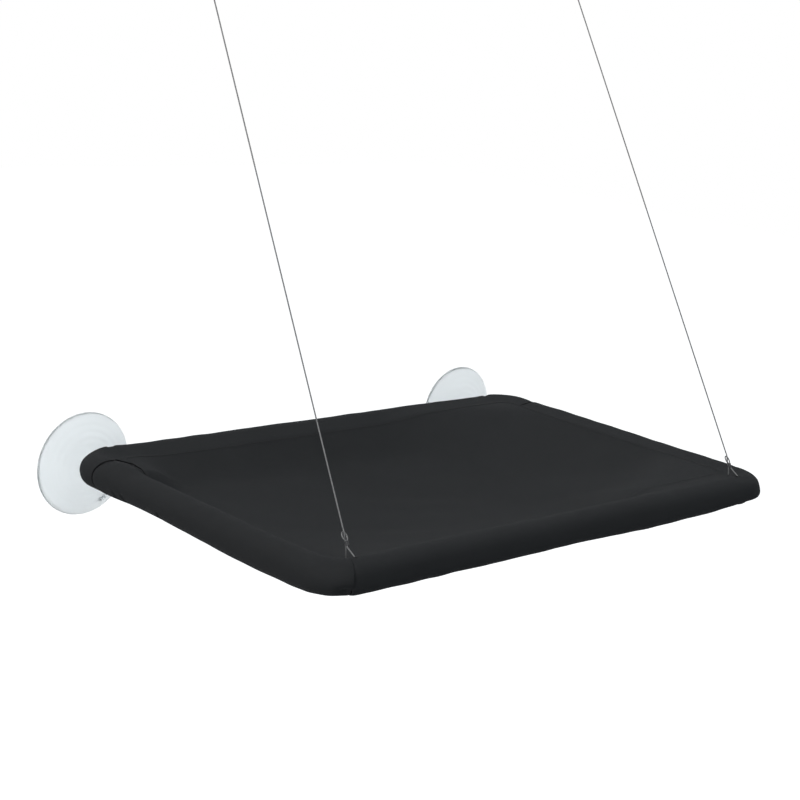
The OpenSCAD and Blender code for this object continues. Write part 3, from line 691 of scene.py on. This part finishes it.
class RollPath:
    """Line of the padded rolls: once round the tray from the middle of the rear tube, by the left side."""

    def __init__(self, cover):
        self.cover = cover
        self.quarter = BEND * math.pi / 2
        self.half_x, self.half_y = SIDE_X - BEND, (REAR_Y - FRONT_Y) / 2 - BEND
        self.left = self.half_x + self.quarter
        self.front = self.left + 2 * self.half_y + self.quarter
        self.right = self.front + 2 * self.half_x + self.quarter
        self.total = self.right + 2 * self.half_y + self.quarter + self.half_x
        starts = (self.half_x, self.front - self.quarter, self.right - self.quarter,
            self.total - self.half_x - self.quarter)
        inset = cover.seam_inset + cover.seam_bend - BEND
        runs, rows = [0.0], [(0, REAR_Y, 0, -1, 0, REAR_Y - cover.seam_inset)]
        for (sx, sy), first, start in zip(((-1, 1), (-1, -1), (1, -1), (1, 1)), (90, 180, 270, 0), starts):
            for k in range(BEND_STEPS + 1):
                angle = math.radians(first + 90 * k / BEND_STEPS)
                out_x, out_y = math.cos(angle), math.sin(angle)
                runs.append(start + self.quarter * k / BEND_STEPS)
                rows.append((sx * self.half_x + BEND * out_x, MIDDLE_Y + sy * self.half_y + BEND * out_y,
                    -out_x, -out_y, sx * (self.half_x - inset) + cover.seam_bend * out_x,
                    MIDDLE_Y + sy * (self.half_y - inset) + cover.seam_bend * out_y))
        self.runs = np.array(runs + [self.total])
        self.rows = np.array(rows + [rows[0]])

    def at(self, run):
        """Point of the tube's axis, direction into the tray and point of the seam, x and y of each."""
        run = np.asarray(run) % self.total
        values = [np.interp(run, self.runs, column) for column in self.rows.T]
        length = np.hypot(values[2], values[3])
        return (np.stack(values[:2], -1), np.stack([values[2] / length, values[3] / length], -1),
            np.stack(values[4:], -1))

    def seam_height(self, x, y):
        """Height of the seam over the tube axis: low where the seat hangs, high where it is pulled flat."""
        cover = self.cover
        # Stretches in which the height changes, in metres along y or x
        rear_y, web_y, web_x, right_x = (-0.11, -0.06), (-0.126, -0.1), (-0.236, -0.195), (0.06, 0.135)
        height = mix(cover.seam_rise, cover.seam_rise_rear, rise_between(*rear_y, y))
        # The cloth spans the rear left corner like a web
        height = mix(height, cover.web_rise, rise_between(*web_y, y) * (1 - rise_between(*web_x, x)))
        return mix(height, cover.seam_rise_right, rise_between(*right_x, x))


class PERCH_OT_cover(bpy.types.Operator):
    """Adds the padded rolls, the sagging seat and the stitching of the cover"""
    bl_idname = "perch.cover"
    bl_label = "Cover"

    def execute(self, context):
        self.cover = cover = context.scene.perch_cover
        finish = context.scene.perch_finish
        cloth = cloth_material(finish)
        self.path = path = RollPath(cover)
        # The mitres lean over the ends of the cuffs, and the front roll runs on round the right-hand corner
        mitre_back, past_corner, fill = 7 * MM, 4 * MM, 0.7
        rear_seam = path.left + cover.cuff - mitre_back
        hitch_seam = path.front + path.half_x - cover.front_seam
        right_seam = path.right + past_corner
        last_seam = path.total - rear_seam
        # Each roll: where it starts and ends along the path, and how far its mitred ends lean
        rolls = (
            ("roll_rear", last_seam - path.total, rear_seam, -0.7, 0.7, "cover_rear_sleeve"),
            ("roll_left", rear_seam, hitch_seam, 0.7, 0.2, "cover_left_sleeve"),
            ("roll_front", hitch_seam, right_seam, 0.2, 0, "cover_front_sleeve"),
            ("roll_right", right_seam, last_seam, 0, -0.7, "cover_right_sleeve"),
        )
        # A cord over each mitred seam, coloured far darker than the cloth as painted shade of the seam's
        # crease.
        crease_shade_binding = plain_material("Seam Binding Painted Shade", finish.crease_shade_binding, 0.7, 200.0, 3000.0, Specular_IOR_Level=0.1)
        for name, start, end, lean_start, lean_end, node in rolls:
            piece = self.add_roll(name, start, end, lean_start, lean_end)
            dress(piece, cloth, node, "tray")
            if name in ("roll_left", "roll_right"):
                dress(self.add_binding(piece, name), crease_shade_binding, body="tray")
        seat = self.add_seat()
        dress(seat, cloth, "cover_seat", "tray")
        thread = plain_material("Sewing Thread", finish.thread, 0.6, 200.0, 3000.0, Specular_IOR_Level=0.05)
        for piece in (self.add_stitches(), self.add_eyelets()):
            dress(piece, thread, body="tray")
        return {"FINISHED"}

    def swell(self, name, run, angle, from_start, from_end):
        """How far the cloth stands off a plain roll: slack, puckers, bulges and the pinch of the seams."""
        path = self.path
        angle = angle % (2 * math.pi)
        top, low = np.maximum(0, np.sin(angle)), np.maximum(0, -np.sin(angle))
        inner = np.maximum(0, np.cos(angle))

        def ridge(height, turned, spread):
            """A swelling along the roll: height in millimetres, angle round the roll in degrees."""
            return height * MM * hump(angle, math.radians(turned), spread)

        def bulge(height, gap, place, width, turned, spread):
            """A ridge at one place only, with its place and width along the roll in millimetres."""
            return hump(gap, place * MM, width * MM) * ridge(height, turned, spread)

        out = soft_noise(run * 12, angle * 0.5, 3) * 0.28 * MM
        out = out + soft_noise(run * 45, angle * 0.9, 9) * 0.14 * MM
        # The seams pinch the cloth, the mitres at the rear most
        starts = {"roll_front": 0.3, "roll_right": 0.2}.get(name, 1.0)
        ends = {"roll_left": 0.3, "roll_front": 0.2}.get(name, 1.0)
        for gap, pinch in ((from_start, starts), (from_end, ends)):
            out -= pinch * (0.9 * hump(gap, 0, 1.2 * MM) + 0.6 * hump(gap, 0, 4 * MM)) * MM
        # Cross folds on the inner side of the bends
        for corner in (path.left, path.front, path.right, path.total - path.half_x):
            near = hump(run, corner - path.quarter / 2, 22 * MM)
            out += near * inner ** 2 * np.sin(run / (1.5 * MM) + 2 * np.sin(run * 70)) * 0.3 * MM
            out += near * low * np.sin(run / (2.6 * MM) + angle) * 0.15 * MM
        if name == "roll_left":
            # Full end by the cuff, thin behind it, heavy towards the front
            out += hump(from_start, 14 * MM, 15 * MM) * (0.5 + top) * 1.3 * MM
            out += bulge(1.5, from_start, 24, 15, 75, 0.45)
            out += low * 2.4 * MM * hump(from_start, 205 * MM, 75 * MM)
            out -= low * 1.6 * MM * hump(from_start, 62 * MM, 38 * MM)
            for place, width, depth in ((28, 1.2, 2.0), (38, 1.4, 2.6), (86, 1.6, 2.4)):
                out -= bulge(depth, from_start, place, width, 216, 0.3)
            # Flared edge beside the front seam, with a deep fold under it
            out += bulge(1.6, from_end, 0, 9, 165, 1.0)
            out -= bulge(3.4, from_end, 4, 4, 214, 0.33)
            out -= bulge(1.2, run - path.front, -12, 16, 235, 0.7)
        if name == "roll_rear":
            # Full below and drawn in above at the left corner, full before it, and flattened by the mitre
            corner = run - path.half_x - path.quarter * 0.45
            out += bulge(0.7, corner, 0, 17, 225, 0.8) - bulge(1.2, corner, 0, 17, 125, 0.6)
            out -= 0.6 * MM * hump(from_end, 0, 12 * MM) * top
            out += bulge(1.4, run - path.half_x, -4, 14, 95, 0.6)
        if name == "roll_front":
            # A flatter face with fuller edges
            out += ridge(0.9, 138, 0.4) + ridge(0.6, 222, 0.4) - ridge(0.4, 180, 0.35)
            out += low * 0.5 * MM * np.sin(run * 21)
            out -= bulge(0.5, from_start, 8, 5, 140, 0.8)
        # The pull of the right-hand cable draws the cloth tight under the corner and out to a tip
        if name in ("roll_front", "roll_right"):
            x = path.at(run)[0][..., 0]
            tip = run - path.right + path.quarter * 0.62
            tight_x = (0.18, 0.25)
            tight = rise_between(*tight_x, x) * (1 - rise_between(0, 30 * MM, run - path.right))
            out -= (3.2 * tight + 3.4 * hump(tip, 0, 22 * MM)) * ridge(1, 262, 0.75)
            out -= bulge(1.2, tip, 0, 22, 112, 0.5)
            out += bulge(2.4, tip, 0, 9, 196, 0.45)
        return out

    def add_binding(self, piece, name):
        """Narrow binding sewn over the mitred seam, round the roll from the seat and back to it."""
        ring = self.ring_sides
        points = [vertex.co.copy() for vertex in piece.data.vertices]
        line = (points[:ring] if name == "roll_left" else points[-ring:])[len(HEM_ROWS):]
        middle = sum(line, Vector()) / len(line)
        # The left one stands up over the full end of its roll
        lift = 2.2 if name == "roll_left" else 0.4
        line = [p + (p - middle).normalized() * (0.3 + lift * hump(i, 6, 8)) * MM for i, p in enumerate(line)]
        # It starts on the seat's seam and turns up over the roll
        x, y = line[0].x, line[0].y
        for gap, share in ((2, 1.0), (5, 0.8), (9, 0.6), (14, 0.5), (20, 0.25), (24, -0.5)):
            spot = (x - 0.5 * MM, y - gap * MM)
            line.insert(0, Vector((*spot, AXIS_Z + self.path.seam_height(*spot) + lift * share * MM)))
        step, sides, radius = 1.1 * MM, 8, 0.62 * MM
        line = resample(line, step)
        across = (line[len(line) // 2] - middle).cross(line[len(line) // 4] - middle).normalized()
        skin = []
        for p, _, normal, binormal in along(line, across):
            skin += circle(p, normal, binormal, radius, sides)
        return add_mesh("binding_" + name[5:], skin, tube_faces(len(line), sides))

    def add_roll(self, name, start, end, lean_start, lean_end):
        """A padded roll of cloth with its thickness, its rings closer together by the seams."""
        length = end - start
        near = np.array([0.0, 0.5, 1.0, 1.6, 2.3, 3.1, 4.0]) * MM
        gap = (0.9 if name == "roll_left" else 1.4) * MM
        middle = np.linspace(4 * MM, length - 4 * MM, round(length / gap))[1:-1]
        steps = np.concatenate([near, middle, length - near[::-1]])
        points, walked = self.sections(name, start, steps, length, lean_start, lean_end)
        rings, sides, _ = points.shape
        self.ring_sides = sides
        faces = tube_faces(rings, sides, capped=False)
        if name == "roll_rear":
            faces = self.cut_windows(points.reshape(-1, 3), faces)
        piece = add_mesh(name, points.reshape(-1, 3), faces)
        along_path = np.repeat(start + steps, sides)
        add_uv(piece, list(zip(along_path.tolist(), walked.ravel().tolist())))
        shell = piece.modifiers.new("Cloth thickness", "SOLIDIFY")
        shell.thickness = self.cover.cloth
        shell.offset = -1
        return piece

    def sections(self, name, start, steps, length, lean_start, lean_end):
        """Rings of a roll: each from the seam over the top of the tube, round it and back to the seam."""
        cover, path = self.cover, self.path
        # The roll's radius, the steps round it and from the seam to it, and how far a mitre's lean reaches
        radius, around, tail, lean_reach = cover.roll_radius, 44, 5, 60 * MM
        lean = lean_start * np.maximum(0, 1 - steps / lean_reach)
        lean = lean + lean_end * np.maximum(0, 1 - (length - steps) / lean_reach)
        point, _, seam = path.at(start + steps - lean * radius)
        far = np.hypot(*(seam - point).T)
        towards = (seam - point) / far[:, None]
        rise = path.seam_height(seam[:, 0], seam[:, 1])
        tilt = np.arctan2(rise, far)
        spread = np.arccos(np.minimum(1, radius / np.hypot(far, rise)))
        upper, lower = tilt + spread, tilt - spread + 2 * math.pi
        share = np.arange(around + 1) / around
        angle = upper[:, None] + (lower - upper)[:, None] * share
        run = start + steps[:, None] - lean[:, None] * radius * np.abs(np.cos(angle))
        point, inward, _ = path.at(run)
        r = radius + self.swell(name, run, angle, steps[:, None], length - steps[:, None])
        # The inner face of the cloth stays off the tube and off the hitches round it
        hitch = hump(np.abs(point[..., 0]), cover.hitch_x, 5 * MM)
        r = np.maximum(r, TUBE_RADIUS + cover.cloth + (0.3 + 1.5 * hitch) * MM)
        skin = np.concatenate([point + inward * (r * np.cos(angle))[..., None],
            (AXIS_Z + r * np.sin(angle))[..., None]], -1)
        line = np.concatenate([seam, (AXIS_Z + rise)[:, None]], -1)[:, None, :]
        half = np.array((0, 0, cover.cloth / 2))
        up = np.arange(tail)[None, :, None] / tail
        down = np.arange(1, tail + 1)[None, :, None] / tail
        first = (line + 1.8 * half) * (1 - up) + skin[:, :1] * up
        last = skin[:, -1:] * (1 - down) + (line - half) * down
        # The hem runs on over the rim of the seat and sinks into it
        hem = []
        for gap, stand in HEM_ROWS:
            spot = seam + towards * gap * MM
            height = AXIS_Z + self.seat_height(spot[:, 0], spot[:, 1]) + stand * MM
            hem.append(np.concatenate([spot, height[:, None]], -1)[:, None, :])
        points = np.concatenate(hem + [first, skin, last], 1)
        gaps = np.linalg.norm(np.diff(points, axis=1), axis=2)
        walked = np.concatenate([np.zeros((len(points), 1)), np.cumsum(gaps, 1)], 1)
        return points, walked

    def cut_windows(self, points, faces):
        """Leaves out the faces of the rear roll where the cloth is cut away round the clips."""
        low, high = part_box("tube_clip_right")
        play, top, foot = 1.2 * MM, 90, 292
        reach = (high[0] - low[0]) / 2 + play
        middle = points[np.array(faces)].mean(axis=1)
        angle = np.degrees(np.arctan2(middle[:, 2] - AXIS_Z, REAR_Y - middle[:, 1])) % 360
        beside = np.abs(np.abs(middle[:, 0]) - (low[0] + high[0]) / 2) < reach
        cut = beside & (angle > top) & (angle < foot)
        return [face for face, gone in zip(faces, cut) if not gone]

    def seat_places(self, nx, ny):
        """Grid of the seat over its whole plan, out to where it lies on the rolls."""
        cover = self.cover
        lap = 3 * MM
        u, v = np.meshgrid(np.linspace(-1, 1, nx + 1), np.linspace(-1, 1, ny + 1))
        half_x = SIDE_X - cover.seam_inset + lap
        half_y = (REAR_Y - FRONT_Y) / 2 - cover.seam_inset + lap
        bend = cover.seam_bend + lap
        y = v * half_y
        over = np.maximum(0, np.abs(y) - (half_y - bend))
        x = u * (half_x - bend + np.sqrt(np.maximum(0, bend * bend - over * over)))
        return x, y + MIDDLE_Y

    def seat_height(self, x, y):
        """Height of the seat over the tube axis: a broad hollow, and flat corners at the right."""
        cover = self.cover
        edge = self.path.seam_height(x, y)
        across = np.abs(x) / (SIDE_X - cover.seam_inset)
        back = np.abs(y - MIDDLE_Y) / ((REAR_Y - FRONT_Y) / 2 - cover.seam_inset)
        deep = (1 - np.minimum(1, across) ** 2.6) * (1 - np.minimum(1, back) ** 2.1)
        # Brinks of the flat corners: each a line from the front or rear edge to the right-hand edge
        brinks = []
        for front, (x1, y1), (x2, y2) in ((1, (103, -376), (265, -283)), (-1, (150, -46), (265, -110))):
            length = math.hypot(x2 - x1, y2 - y1)
            brinks.append(front * ((y - y1 * MM) * (x2 - x1) - (x - x1 * MM) * (y2 - y1)) / length)
        slope = 22 * MM
        far = self.inside(brinks, blend=15 * MM, soft=5 * MM)
        deep = deep * (1 - np.exp(-(far / slope) ** 1.3))
        z = edge - (cover.seat_sag + edge) * deep + self.seat_folds(x, y) * deep
        # The lap at the rim lies on the tails of the rolls
        return z + 0.3 * MM

    def inside(self, gaps, blend, soft):
        """Smallest of the gaps with its corners rounded over, and zero outside with a soft start."""
        least = -blend * np.log(sum(np.exp(-np.clip(gap, -0.1, 0.6) / blend) for gap in gaps))
        return soft * np.log1p(np.exp(np.minimum(least, 0.3) / soft))

    def seat_folds(self, x, y):
        """Slack of the seat: broad waves, and soft folds that run out of the corners."""
        wave = soft_noise(x * 8, y * 10, 21) * 1.0 * MM + soft_noise(x * 26, y * 28, 5) * 0.3 * MM
        for sx in (-1, 1):
            for sy in (-1, 1):
                dx, dy = x - sx * (SIDE_X - 10 * MM), y - MIDDLE_Y - sy * 0.155
                far, angle = np.hypot(dx, dy), np.arctan2(-sy * dy, -sx * dx)
                fade = rise_between(0.02, 0.06, far) * (1 - rise_between(0.09, 0.2, far))
                wave = wave + fade * np.sin(angle * 11 + sx + 2 * sy + 8 * far) * 0.7 * MM
        return wave

    def add_seat(self):
        """The seat panel: an upper and a lower sheet, joined round the rim."""
        nx, ny = 170, 110
        x, y = self.seat_places(nx, ny)
        z = AXIS_Z + self.seat_height(x, y)
        half = self.cover.cloth / 2
        sheets = [np.stack([x, y, z + side * half], -1).reshape(-1, 3) for side in (1, -1)]
        row, sheet = nx + 1, (nx + 1) * (ny + 1)
        faces = []
        for j in range(ny):
            for i in range(nx):
                a = j * row + i
                faces.append((a, a + 1, a + row + 1, a + row))
                faces.append((sheet + a, sheet + a + row, sheet + a + row + 1, sheet + a + 1))
        rim = list(range(nx)) + [j * row + nx for j in range(ny)]
        rim += [ny * row + i for i in range(nx, 0, -1)] + [j * row for j in range(ny, 0, -1)]
        for a, b in zip(rim, rim[1:] + rim[:1]):
            faces.append((a, a + sheet, b + sheet, b))
        points = np.concatenate(sheets)
        piece = add_mesh("seat_panel", points, faces)
        add_uv(piece, points[:, :2].tolist())
        return piece

    def add_stitches(self):
        """Lockstitch along the seam of seat and rolls, one short rounded bead of thread for each stitch."""
        # Distance inside the seam, height over the seat, length of a stitch and the share that shows
        inside, stand, stitch, shown, sides = 3 * MM, 0.8 * MM, 3.4 * MM, 0.78, 6
        # Shares of a bead's length and its radius there in millimetres
        bead = ((0.0, 0.08), (0.2, 0.24), (0.5, 0.3), (0.8, 0.24), (1.0, 0.08))
        up = Vector((0, 0, 1))
        _, inward, seam = self.path.at(np.linspace(0, self.path.total, 1200))
        spot = seam + inward * inside
        height = AXIS_Z + self.seat_height(spot[:, 0], spot[:, 1]) + stand
        line = resample([Vector((*place, z)) for place, z in zip(spot, height)], stitch)
        points, faces = [], []
        for a, b in zip(line, line[1:]):
            ahead = (b - a).normalized()
            side = ahead.cross(up).normalized()
            length = (b - a).length * shown
            first = len(points)
            for t, r in bead:
                points += circle(a + ahead * length * t + up * 0.1 * r * MM, side, up, r * MM, sides)
            faces += tube_faces(len(bead), sides, first)
        return add_mesh("seam_stitches", points, faces)

    def add_eyelets(self):
        """Worked slits where the two legs of each hitch go through the cloth: a closed ring of thread."""
        cover, rope = self.cover, bpy.context.scene.perch_rope
        half_length, half_width, thread, stand = 1.7 * MM, 1.15 * MM, 0.38 * MM, 0.2 * MM
        rings, sides, leg_steps = 16, 6, 400
        pull, across, _ = pull_axes()
        turn_r = TUBE_RADIUS + rope.diameter / 2 + TUBE_PLAY
        open_angle = math.acos(turn_r / rope.hitch_reach)
        along_x = Vector((1, 0, 0))
        points, faces = [], []
        for _, side in SIDES:
            centre = Vector((side * cover.hitch_x, FRONT_Y, AXIS_Z))
            tip = centre + pull * rope.hitch_reach
            for way in (-1, 1):
                foot = centre + (pull * math.cos(open_angle) + across * way * math.sin(open_angle)) * turn_r
                # Point where the leg crosses the skin of the roll
                leg = (foot.lerp(tip, k / leg_steps) for k in range(leg_steps))
                spot = next(p for p in leg if (p - centre).length > cover.roll_radius + stand)
                normal = (spot - centre).normalized()
                cross = normal.cross(along_x)
                first = len(points)
                for i in range(rings):
                    a = 2 * math.pi * i / rings
                    out = (along_x * math.cos(a) + cross * math.sin(a)).normalized()
                    middle = spot + along_x * math.cos(a) * half_length + cross * math.sin(a) * half_width
                    points += circle(middle, out, normal, thread, sides)
                faces += tube_faces(rings, sides, first, closed=True)
        return add_mesh("hitch_eyelets", points, faces)


class PERCH_OT_cups(bpy.types.Operator):
    """Adds the milky suction cups and the threaded studs moulded into them"""
    bl_idname = "perch.cups"
    bl_label = "Cups"

    def execute(self, context):
        finish = context.scene.perch_finish
        vinyl = self.vinyl(finish)
        zinc = plain_material("Zinc Plated Steel", finish.zinc, 0.32, 120.0, 1500.0, metallic=1.0)
        for level, x, z in (("lower", LOWER_CUP_X, 0.0), ("upper", UPPER_CUP_X, UPPER_CUP_Z)):
            for label, side in SIDES:
                place = on_glass(side * x, z)
                cup = self.add_cup(f"{level}_suction_cup_{label}", place, side)
                dress(cup, vinyl, f"{level}_cup_{label}", "window_set")
                low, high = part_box(f"{level}_stud_{label}")
                stud = self.add_stud(f"{level}_thread_{label}", place, -high[1], -low[1])
                dress(stud, zinc, f"{level}_stud_{label}", "window_set")
        return {"FINISHED"}

    def vinyl(self, finish):
        """Milky soft vinyl that lets light through."""
        material, nodes, shader = new_material("Milky Vinyl", Roughness=0.4, IOR=1.45,
            Transmission_Weight=0.8, Subsurface_Weight=0.3, Subsurface_Scale=0.004,
            Subsurface_Radius=(1.0, 1.0, 1.0), Coat_Weight=0.25, Coat_Roughness=0.12)
        wear = add_wear(nodes, 35.0, 260.0)
        nodes.tree.links.new(tint(nodes, finish.vinyl, 0.96, 1.04, wear["Cloud"]),
            shader.inputs["Base Color"])
        bump(nodes, shader, wear["Grain"], 0.03 * MM)
        return material

    def add_cup(self, name, place, side):
        """Turned dome with a thin lip, a stepped neck and a lug for the fingernail."""
        r, h = CUP_RADIUS, CUP_HEIGHT
        neck, lip, dome, hollow, fillet = 11 * MM, 1.2 * MM, 11 * MM, 5 * MM, 3 * MM
        bore, bore_foot, collar, ripple = 3.06 * MM, 12.5 * MM, 0.35 * MM, 0.12 * MM
        # The outline stays just off the axis, so that no face is folded flat there
        axis, dome_steps, fillet_steps, hollow_steps, sides = 0.02 * MM, 32, 8, 19, 128
        outer = [(r - 0.2 * MM, 0.0), (r, 0.35 * MM), (r - 0.1 * MM, lip)]
        for i in range(1, dome_steps + 1):
            share = 1 - i / dome_steps
            height = lip + (dome - lip) * (1 - share ** 1.6)
            wave = ripple * math.sin(share * 34) * math.sin(math.pi * share)
            outer.append((neck + fillet + (r - neck - fillet) * share, height + wave))
        for i in range(1, fillet_steps + 1):
            a = math.pi / 2 * i / fillet_steps
            outer.append((neck + fillet * (1 - math.sin(a)), dome + fillet * (1 - math.cos(a))))
        # Neck with its collar, a rounded end and the bore for the stud
        outer += [(neck, h - 3.2 * MM), (neck + collar, h - 2.8 * MM), (neck + collar, h - 1.4 * MM),
            (neck, h - 1.0 * MM), (neck - 0.3 * MM, h - 0.35 * MM), (neck - 1.0 * MM, h), (3.4 * MM, h),
            (bore, h - 0.3 * MM), (bore, bore_foot)]
        inner = [(axis, bore_foot), (axis, hollow)]
        for i in range(1, hollow_steps + 1):
            share = i / hollow_steps
            inner.append(((r - 4 * MM) * share, hollow * (1 - share * share) + 0.02 * MM))
        inner.append((r - 3.6 * MM, 0.0))
        points, faces = revolve(outer + inner, sides, closed=True)
        piece = add_mesh(name, [place @ Vector(p) for p in points], faces)
        self.add_lug(piece, place, side)
        return piece

    def add_lug(self, piece, place, side):
        """Joins the lug to the cup's mesh: a low rounded bar across the lip."""
        lug_angle, low, high, half_x, half_y = 58, 1.0 * MM, 6.3 * MM, 2.5 * MM, 5.0 * MM
        at = CUP_RADIUS * 40 / 48
        turn = Matrix.Rotation(math.radians(180 + lug_angle if side > 0 else -lug_angle), 4, "Z")
        rings, sides = 9, 28
        points = []
        for i in range(rings):
            t = i / (rings - 1)
            z = mix(low, high, math.sin(math.pi / 2 * t))
            s = math.cos(math.pi / 2 * t * 0.93)
            for k in range(sides):
                a = 2 * math.pi * k / sides
                points.append(place @ turn @ Vector((at + half_x * s * math.cos(a),
                    half_y * s * fuller(math.sin(a)), z)))
        lug = add_mesh("lug", points, tube_faces(rings, sides))
        with bpy.context.temp_override(active_object=piece, selected_editable_objects=[piece, lug]):
            bpy.ops.object.join()

    def add_stud(self, name, place, start, end):
        """Flat round head and a rod with a rolled thread."""
        pitch, depth, play, sides, pitch_steps = 1.0 * MM, 0.42 * MM, 0.02 * MM, 24, 8
        head, head_r, flat_r, soft = 2.0 * MM, 8 * MM, 7.6 * MM, 0.3 * MM
        radius = STUD_RADIUS - play
        profile = [(0.05 * MM, start), (flat_r, start), (head_r, start + soft), (head_r, start + head - soft),
            (flat_r, start + head), (radius - depth, start + head)]
        points, faces = revolve(profile, sides)
        first = len(points) - sides
        steps = round((end - start - head) / pitch * pitch_steps)
        for i in range(1, steps + 1):
            h = start + head + (end - start - head) * i / steps
            # The thread runs out to a thinner end
            close = rise_between(0, 1.2 * MM, end - h)
            for k in range(sides):
                phase = (h / pitch - k / sides) % 1.0
                cut = abs(2 * phase - 1)
                r = (radius - depth * (1 - min(1, cut * 1.25))) * mix(0.8, 1.0, close)
                a = 2 * math.pi * k / sides
                points.append((r * math.cos(a), r * math.sin(a), h))
        faces += tube_faces(steps + 1, sides, first, capped=False)
        last = first + steps * sides
        faces.append(tuple(range(last, last + sides)))
        return add_mesh(name, [place @ Vector(p) for p in points], faces)


class PERCH_OT_fittings(bpy.types.Operator):
    """Finishes the tubes, elbows, clips, washers and nuts that keep their CAD shape"""
    bl_idname = "perch.fittings"
    bl_label = "Fittings"

    def execute(self, context):
        finish = context.scene.perch_finish
        zinc = plain_material("Bright Zinc Washer", finish.zinc, 0.28, 160.0, 1800.0, metallic=1.0)
        tube = plain_material("Zinc Plated Tube", finish.zinc, 0.34, 60.0, 1200.0, metallic=1.0)
        black = plain_material("Black Nylon", finish.moulding, 0.45, 80.0, 1400.0, depth=0.05 * MM,
            contrast=0.25)
        nylon = plain_material("Clear Nylon", finish.nylon, 0.25, 70.0, 700.0, Transmission_Weight=0.35,
            IOR=1.5)
        for name in ("front_tube", "rear_tube", "left_tube", "right_tube"):
            finish_node(name, tube)
        for end in ("front", "rear"):
            for label, _ in SIDES:
                finish_node(f"elbow_{end}_{label}", black)
        for label, _ in SIDES:
            finish_node(f"tube_clip_{label}", black)
            for washer in ("lower_washer", "upper_back_washer", "upper_washer"):
                finish_node(f"{washer}_{label}", zinc)
            for nut in ("lower_nut", "upper_nut"):
                finish_node(f"{nut}_{label}", nylon)
        return {"FINISHED"}


class PERCH_PT_panel(bpy.types.Panel):
    """Shows a button for each step of the perch, then its sizes and colours"""
    bl_idname = "PERCH_PT_panel"
    bl_label = "Window Perch"
    bl_space_type = "VIEW_3D"
    bl_region_type = "UI"
    bl_category = "Perch"

    def draw(self, context):
        for step in STEPS:
            self.layout.operator(step.bl_idname)
        for group in ("perch_cover", "perch_rope", "perch_finish"):
            values = getattr(context.scene, group)
            for key in values.__annotations__:
                self.layout.prop(values, key)


GROUPS = (("perch_cover", PerchCover), ("perch_rope", PerchRope), ("perch_finish", PerchFinish))
STEPS = (PERCH_OT_stage, PERCH_OT_cables, PERCH_OT_cover, PERCH_OT_cups, PERCH_OT_fittings)
CLASSES = tuple(kind for _, kind in GROUPS) + STEPS + (PERCH_PT_panel,)


def register():
    """Registers the classes and gives each scene its groups of sizes and colours"""
    for kind in CLASSES:
        bpy.utils.register_class(kind)
    for name, kind in GROUPS:
        setattr(bpy.types.Scene, name, PointerProperty(type=kind))


def unregister():
    """Takes the groups and the classes away again"""
    for name, _ in GROUPS:
        delattr(bpy.types.Scene, name)
    for kind in reversed(CLASSES):
        bpy.utils.unregister_class(kind)


def main():
    """Dresses the perch"""
    register()
    bpy.ops.perch.stage()
    bpy.ops.perch.cables()
    bpy.ops.perch.cover()
    bpy.ops.perch.cups()
    bpy.ops.perch.fittings()


if __name__ == "__main__":
    main()
